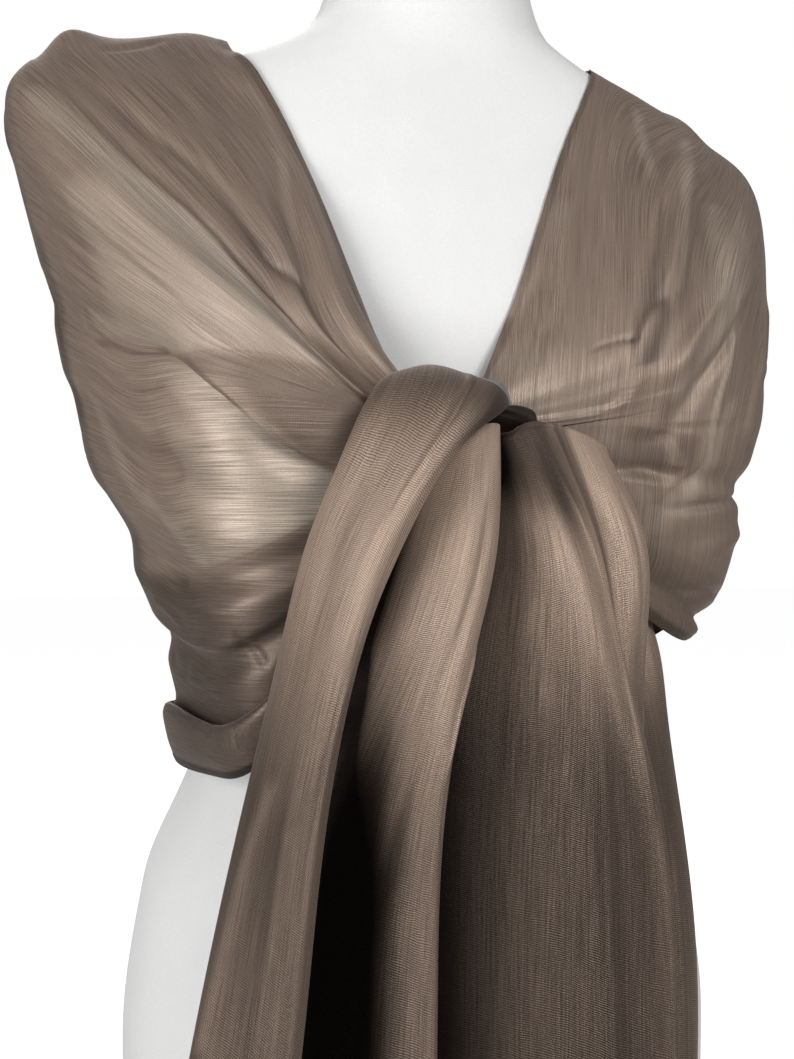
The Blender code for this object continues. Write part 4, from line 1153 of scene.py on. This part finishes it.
TAIL_LEVELS = (0.0, 0.035, 0.07, 0.14, 0.23, 0.32, 0.47, 0.62, 0.82, 1.0)
BAND_AND_TAIL = (
    ((-.063, -.1455, .497), (-.073, -.15, .506), (-.083, -.159, .499), (-.098, -.16, .467),
     (-.114, -.163, .43), (-.126, -.166, .387), (-.144, -.168, .318), (-.16, -.17, .245),
     (-.179, -.17, .13), (-.191, -.165, .016)),
    ((-.064, -.146, .501), (-.0745, -.152, .5105), (-.0859, -.163, .502), (-.1048, -.17, .467),
     (-.1212, -.174, .43), (-.1334, -.177, .387), (-.1506, -.179, .318), (-.1673, -.18, .245),
     (-.187, -.18, .13), (-.2, -.175, .017)),
    ((-.054, -.144, .506), (-.058, -.156, .5155), (-.066, -.174, .508), (-.092, -.187, .468),
     (-.1135, -.191, .428), (-.1265, -.193, .388), (-.144, -.194, .318), (-.158, -.195, .245),
     (-.176, -.194, .13), (-.188, -.188, .018)),
    ((-.042, -.144, .503), (-.04, -.155, .512), (-.048, -.176, .507), (-.078, -.197, .47),
     (-.103, -.203, .43), (-.118, -.205, .389), (-.135, -.206, .319), (-.147, -.207, .245),
     (-.163, -.206, .13), (-.174, -.2, .018)),
    ((-.03, -.143, .499), (-.0235, -.15, .508), (-.03, -.17, .504), (-.064, -.198, .474),
     (-.094, -.206, .43), (-.1095, -.209, .391), (-.1265, -.211, .32), (-.137, -.213, .245),
     (-.152, -.212, .13), (-.162, -.206, .018)),
    ((-.0205, -.142, .496), (-.0157, -.147, .502), (-.02, -.164, .498), (-.0523, -.19, .478),
     (-.0867, -.202, .43), (-.1036, -.206, .393), (-.1204, -.208, .32), (-.1296, -.21, .245),
     (-.143, -.21, .13), (-.152, -.204, .018)),
)

PANEL_LEVELS = (0.0, 0.15, 0.27, 0.45, 0.65, 0.85, 1.0)
PANEL_HEIGHTS = (.430, .385, .310, .215, .110)
INNER_PANEL = levelled(PANEL_HEIGHTS, (
    ((-.058, -.16, .48), (-.088, -.171), (-.108, -.174), (-.13, -.176), (-.148, -.176),
     (-.168, -.174), (-.182, -.168, .02)),
    ((-.05, -.1615, .483), (-.078, -.176), (-.096, -.18), (-.119, -.172), (-.136, -.164),
     (-.153, -.162), (-.165, -.158, .021)),
    ((-.044, -.1628, .486), (-.068, -.183), (-.084, -.185), (-.106, -.156), (-.118, -.141),
     (-.13, -.139), (-.14, -.137, .022)),
    ((-.036, -.163, .488), (-.055, -.189), (-.07, -.189), (-.09, -.169), (-.1, -.154),
     (-.108, -.152), (-.114, -.149, .022)),
    ((-.03, -.1628, .489), (-.044, -.189), (-.057, -.192), (-.074, -.184), (-.082, -.173),
     (-.086, -.171), (-.09, -.167, .022)),
    ((-.026, -.1634, .489), (-.035, -.183), (-.0475, -.188), (-.0625, -.188), (-.066, -.184),
     (-.068, -.182), (-.07, -.177, .021)),
    ((-.024, -.1622, .488), (-.0313, -.174), (-.0442, -.177), (-.059, -.178), (-.0613, -.177),
     (-.063, -.175), (-.065, -.17, .02)),
))
LEFT_TAIL = levelled(PANEL_HEIGHTS, (
    ((-.03, -.156, .479), (-.03, -.148), (-.038, -.141), (-.046, -.129), (-.046, -.121),
     (-.046, -.121), (-.048, -.12, .022)),
    ((-.025, -.16, .481), (-.021, -.158), (-.024, -.149), (-.027, -.138), (-.026, -.132),
     (-.026, -.132), (-.028, -.131, .022)),
    ((-.019, -.1645, .482), (-.006, -.176), (-.001, -.168), (.001, -.155), (.001, -.148),
     (0, -.147), (-.003, -.145, .021)),
    ((-.014, -.165, .485), (.003, -.183), (.011, -.183), (.018, -.171), (.021, -.163),
     (.022, -.161), (.022, -.158, .02)),
    ((-.007, -.164, .487), (.013, -.178), (.022, -.184), (.034, -.184), (.04, -.179),
     (.042, -.176), (.042, -.172, .02)),
    ((.0015, -.1625, .487), (.0235, -.17), (.032, -.175), (.048, -.184), (.0555, -.186),
     (.057, -.184), (.056, -.18, .021)),
    ((.011, -.162, .485), (.03, -.162), (.036, -.163), (.046, -.169), (.055, -.169), (.058, -.167),
     (.058, -.164, .022)),
    ((.022, -.16, .482), (.044, -.164), (.046, -.162), (.05, -.159), (.058, -.154), (.061, -.152),
     (.062, -.15, .023)),
    ((.034, -.156, .477), (.056, -.156), (.0565, -.154), (.058, -.149), (.064, -.142),
     (.066, -.139), (.067, -.137, .024)),
    ((.037, -.151, .472), (.058, -.148), (.058, -.146), (.06, -.141), (.066, -.133), (.069, -.13),
     (.07, -.129, .025)),
))

SIDE_LEVELS = (0.0, 0.05, 0.13, 0.27, 0.50, 0.77, 1.0)
SIDE_HEIGHTS = (.380, .350, .300, .215, .110)
SIDE_PANEL = levelled(SIDE_HEIGHTS, (
    ((.04, -.1425, .39), (.041, -.1438), (.042, -.1425), (.042, -.138), (.046, -.13),
     (.048, -.127), (.049, -.126, .024)),
    ((.055, -.1455, .393), (.056, -.1452), (.057, -.1425), (.06, -.137), (.0635, -.127),
     (.065, -.124), (.066, -.124, .024)),
    ((.059, -.122, .397), (.063, -.125), (.067, -.128), (.075, -.126), (.082, -.121),
     (.083, -.119), (.084, -.119, .024)),
    ((.07, -.119, .398), (.075, -.122), (.08, -.123), (.089, -.12), (.099, -.118), (.1, -.117),
     (.1, -.117, .024)),
    ((.079, -.114, .398), (.0838, -.117), (.089, -.116), (.0988, -.112), (.111, -.109),
     (.1105, -.108), (.109, -.108, .024)),
))
print("fold lines:", [len(rows) for rows in (BAND_AND_TAIL, INNER_PANEL, LEFT_TAIL, SIDE_PANEL)])

# %% Loft a panel and crease it
def loft(rows, levels, counts):
    """Cloth panel through fold lines: rows across it, levels down it."""
    down = spline(levels, np.array(rows).transpose(1, 0, 2), np.linspace(0, 1, counts[1]))
    across = np.linspace(0, 1, counts[0])
    return spline(np.linspace(0, 1, len(rows)), down.transpose(1, 0, 2), across)


def tucked(panel, radius, steps):
    """Rolls the top edge of a panel back over itself, towards the body."""
    turn = np.linspace(np.radians(170), 0, steps + 1)[:-1]
    roll = np.stack([np.zeros(steps), radius * (1 - np.cos(turn)), radius * np.sin(turn)], axis=1)
    return np.concatenate([panel[:, :1] + roll[None], panel], axis=1)


def panel_piece(name, node, places, creases, shades, flat, hems, shift, lean,
                layers=2.4):
    """layers is how many lie together, and shades are patches of painted shade and
    highlight added to that count.  shift moves the streaks on, and lean is how far
    the ribs rise for each metre across."""
    rows, cols = places.shape[:2]
    wide, long = flat
    across = np.repeat(np.linspace(0, wide, rows)[:, None], cols, axis=1)
    along = np.repeat(np.linspace(0, long, cols)[None, :], rows, axis=0)

    def in_metres(path):
        return [(a * wide, b * long) for a, b in path]

    lift = creased(across, along, creases, in_metres)
    places = places + grid_normals(places) * lift[..., None]
    # stack holds the layers and the painted shade and highlight of the shades
    stack = np.full(across.shape, layers)
    for outline, soft, added in shades:
        stack += added * patch(across, along, in_metres(outline), soft * MM)
    for hem in hems:
        edge = {"last": wide - across, "foot": long - along}[hem]
        bead = TAIL_BEAD * np.exp(-((edge / BEAD_HALF) ** 2))
        places = places + grid_normals(places) * bead[..., None]
    cut = np.stack([along + shift - lean * across, across + shift], axis=2)
    piece = cloth_sheet(name, places, cut, stack, tail_finish)
    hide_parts(node)


# %% Small creases of the tails: path of (share across, share down), half width, height
BAND_CREASES = (
    (((.3, .02), (.34, .1), (.38, .2), (.42, .32)), 6.5, .9),
    (((.62, .03), (.66, .12), (.66, .22)), 3, -1),
    (((.2, .25), (.22, .45), (.2, .7)), 7, .9),
    (((.55, .4), (.58, .6), (.56, .85)), 7, -.9),
    (((.8, .3), (.78, .5), (.8, .75)), 6, .6),
)
INNER_CREASES = (
    (((.7, .05), (.66, .2), (.6, .4), (.58, .6)), 6, 1.2),
    (((.86, .25), (.82, .33), (.8, .42)), 2.5, -1.4),
    (((.92, .35), (.86, .4), (.84, .48)), 2.5, 1.2),
    (((.5, .5), (.52, .7), (.5, .95)), 5, 1.4),
)
LEFT_CREASES_DOWN = (
    (((.46, .06), (.5, .25), (.5, .5)), 3.5, -1.2),
    (((.56, .2), (.58, .45), (.6, .75)), 4, 1.2),
    (((.36, .35), (.38, .6), (.4, .9)), 4, -1.2),
    (((.8, .08), (.82, .25), (.82, .45)), 3, 1.2),
)
SIDE_CREASES = (
    (((.45, .1), (.5, .3), (.52, .6)), 4, 1.2),
    (((.7, .3), (.72, .6), (.7, .9)), 4, -1.2),
)
print("creases:", [len(rows) for rows in (
    BAND_CREASES, INNER_CREASES, LEFT_CREASES_DOWN, SIDE_CREASES)])

# %% Painted shade of the tails: outline of (share across, share down), softness in mm, layers added
BAND_SHADES = (
    (((-.1, -.1), (1.1, -.1), (1.1, .15), (.7, .125), (.3, .105), (-.1, .09)), 38, 2.2),
    (((.72, 0), (1.1, 0), (1.1, .17), (.9, .13)), 12, 1),
    (((-.1, .38), (1.1, .34), (1.1, 1.1), (-.1, 1.1)), 140, 3.2),
    (((.42, .44), (.36, .52), (.3, .66), (.22, .66), (.28, .52), (.36, .44)), 8, -.9),
)
INNER_SHADES = (
    (((-.1, -.1), (.22, -.1), (.32, .1), (.4, .16), (.46, .25), (.5, .36), (.56, .5), (.62, .7),
      (.66, 1.1), (-.1, 1.1)), 42, .35),
    (((-.1, .05), (.21, .1), (.28, .16), (.27, .22), (.35, .32), (.52, .42), (.62, .5), (.66, .66),
      (.68, 1.1), (-.1, 1.1)), 20, 1.5),
    (((-.1, .08), (.17, .12), (.19, .18), (.2, .26), (.28, .32), (.39, .42), (.5, .53), (.55, .67),
      (.56, 1.1), (-.1, 1.1)), 12, 2.6),
    (((-.1, .4), (1.1, .34), (1.1, 1.1), (-.1, 1.1)), 90, 2.1),
)
LEFT_SHADES = (
    (((-.1, -.1), (.13, 0), (.17, .09), (.22, .15), (.26, .2), (.31, .25), (.37, .3), (.44, .36),
      (.5, .48), (.54, 1.1), (-.1, 1.1)), 22, 1.3),
    (((-.1, -.1), (.08, .05), (.09, .16), (.09, .3), (.1, .5), (.1, 1.1), (-.1, 1.1)), 18, 1.3),
    (((-.1, .36), (1.1, .3), (1.1, 1.1), (-.1, 1.1)), 90, 1.3),
    (((.24, .36), (1.1, .3), (1.1, 1.1), (.32, 1.1)), 60, .6),
    (((-.1, -.1), (.58, -.1), (.58, .05), (.52, .12), (.42, .15), (.3, .14), (.22, .12),
      (-.1, .08)), 28, 2.9),
    (((.575, 0), (.66, 0), (.68, .5), (.66, 1.1), (.575, 1.1)), 5, 1.4),
)
SIDE_SHADES = (
    (((-.1, -.1), (.4, -.1), (.42, .5), (.42, 1.1), (-.1, 1.1)), 14, 1.5),
    (((-.1, .1), (1.1, .1), (1.1, 1.1), (-.1, 1.1)), 60, 1.9),
)
print("shades:", [len(rows) for rows in (BAND_SHADES, INNER_SHADES, LEFT_SHADES, SIDE_SHADES)])

# %% Build the four tail panels
panel_piece(
    "tail_right_outer_layer", "tail_right_outer", loft(BAND_AND_TAIL, TAIL_LEVELS, (90, 330)),
    BAND_CREASES, BAND_SHADES, flat=(0.125, 0.55), hems=("last", "foot"), shift=0.0, lean=0.32)
panel_piece(
    "tail_right_inner_layer", "tail_right_inner", loft(INNER_PANEL, PANEL_LEVELS, (120, 270)),
    INNER_CREASES, INNER_SHADES, flat=(0.15, 0.48), hems=("last", "foot"), shift=0.31, lean=0.18)
panel_piece(
    "tail_left_layer", "tail_left_main",
    tucked(loft(LEFT_TAIL, PANEL_LEVELS, (150, 270)), radius=0.0035, steps=10),
    LEFT_CREASES_DOWN, LEFT_SHADES, flat=(0.20, 0.49), hems=("foot",), shift=0.67, lean=0.22)
panel_piece(
    "tail_left_rear_layer", "tail_left_side", loft(SIDE_PANEL, SIDE_LEVELS, (90, 230)),
    SIDE_CREASES, SIDE_SHADES, flat=(0.10, 0.38), hems=("last", "foot"), shift=0.93, lean=0.15,
    layers=2.8)

# %% [markdown]
# ## The roll inside the knot
# Where the two ends cross, the cloth is twisted into a soft rope.  Only a dark
# curl of it shows beside the band.  It is a grid whose sides are joined into a
# tube that follows a short curved path.

# %% Build the roll
# x, y, z and radius along the roll
KNOT_ROLL = (
    (-.052, -.1428, .487, .0065),
    (-.04, -.153, .49, .008),
    (-.026, -.155, .4905, .0076),
    (-.013, -.1535, .4905, .0076),
    (-.004, -.1475, .491, .006),
)
# The roll gets a full stack of layers, which the finish paints in near-black shade
ROUND, DOWN, ROLL_LAYERS_AND_SHADE = 61, 60, 6.0


def knot_tube():
    table = np.array(KNOT_ROLL)
    run = spline(np.linspace(0, 1, len(table)), table, np.linspace(0, 1, DOWN))
    centre, ahead = run[:, :3], np.gradient(run[:, :3], axis=0)
    ahead /= np.linalg.norm(ahead, axis=1, keepdims=True)
    side = np.cross(ahead, (0, 0, 1.0))
    side /= np.linalg.norm(side, axis=1, keepdims=True)
    up = np.cross(side, ahead)
    turn = np.linspace(0, 2 * np.pi, ROUND)
    swell = 1 + 0.10 * np.cos(3 * turn[:, None] + 9 * np.linspace(0, 1, DOWN)[None, :])
    ring = np.cos(turn)[:, None, None] * side + np.sin(turn)[:, None, None] * up
    return centre[None] + run[None, :, 3:] * swell[..., None] * ring


tube = knot_tube()
tube_cut = np.stack(np.broadcast_arrays(
    np.linspace(0, 0.06, DOWN)[None, :], np.linspace(0, 0.045, ROUND)[:, None]), axis=2)
core = cloth_sheet("knot_core", tube, tube_cut, np.full(tube.shape[:2], ROLL_LAYERS_AND_SHADE),
                   tail_finish, join_sides=True)
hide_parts("knot_roll")
print("knot_core:", tube.shape)

# %% Write both boxes and finish
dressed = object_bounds()
growth = [[round(1000 * (b - a), 1) for a, b in zip(*pair)] for pair in zip(cad_box, dressed)]
print("growth in mm:", growth)
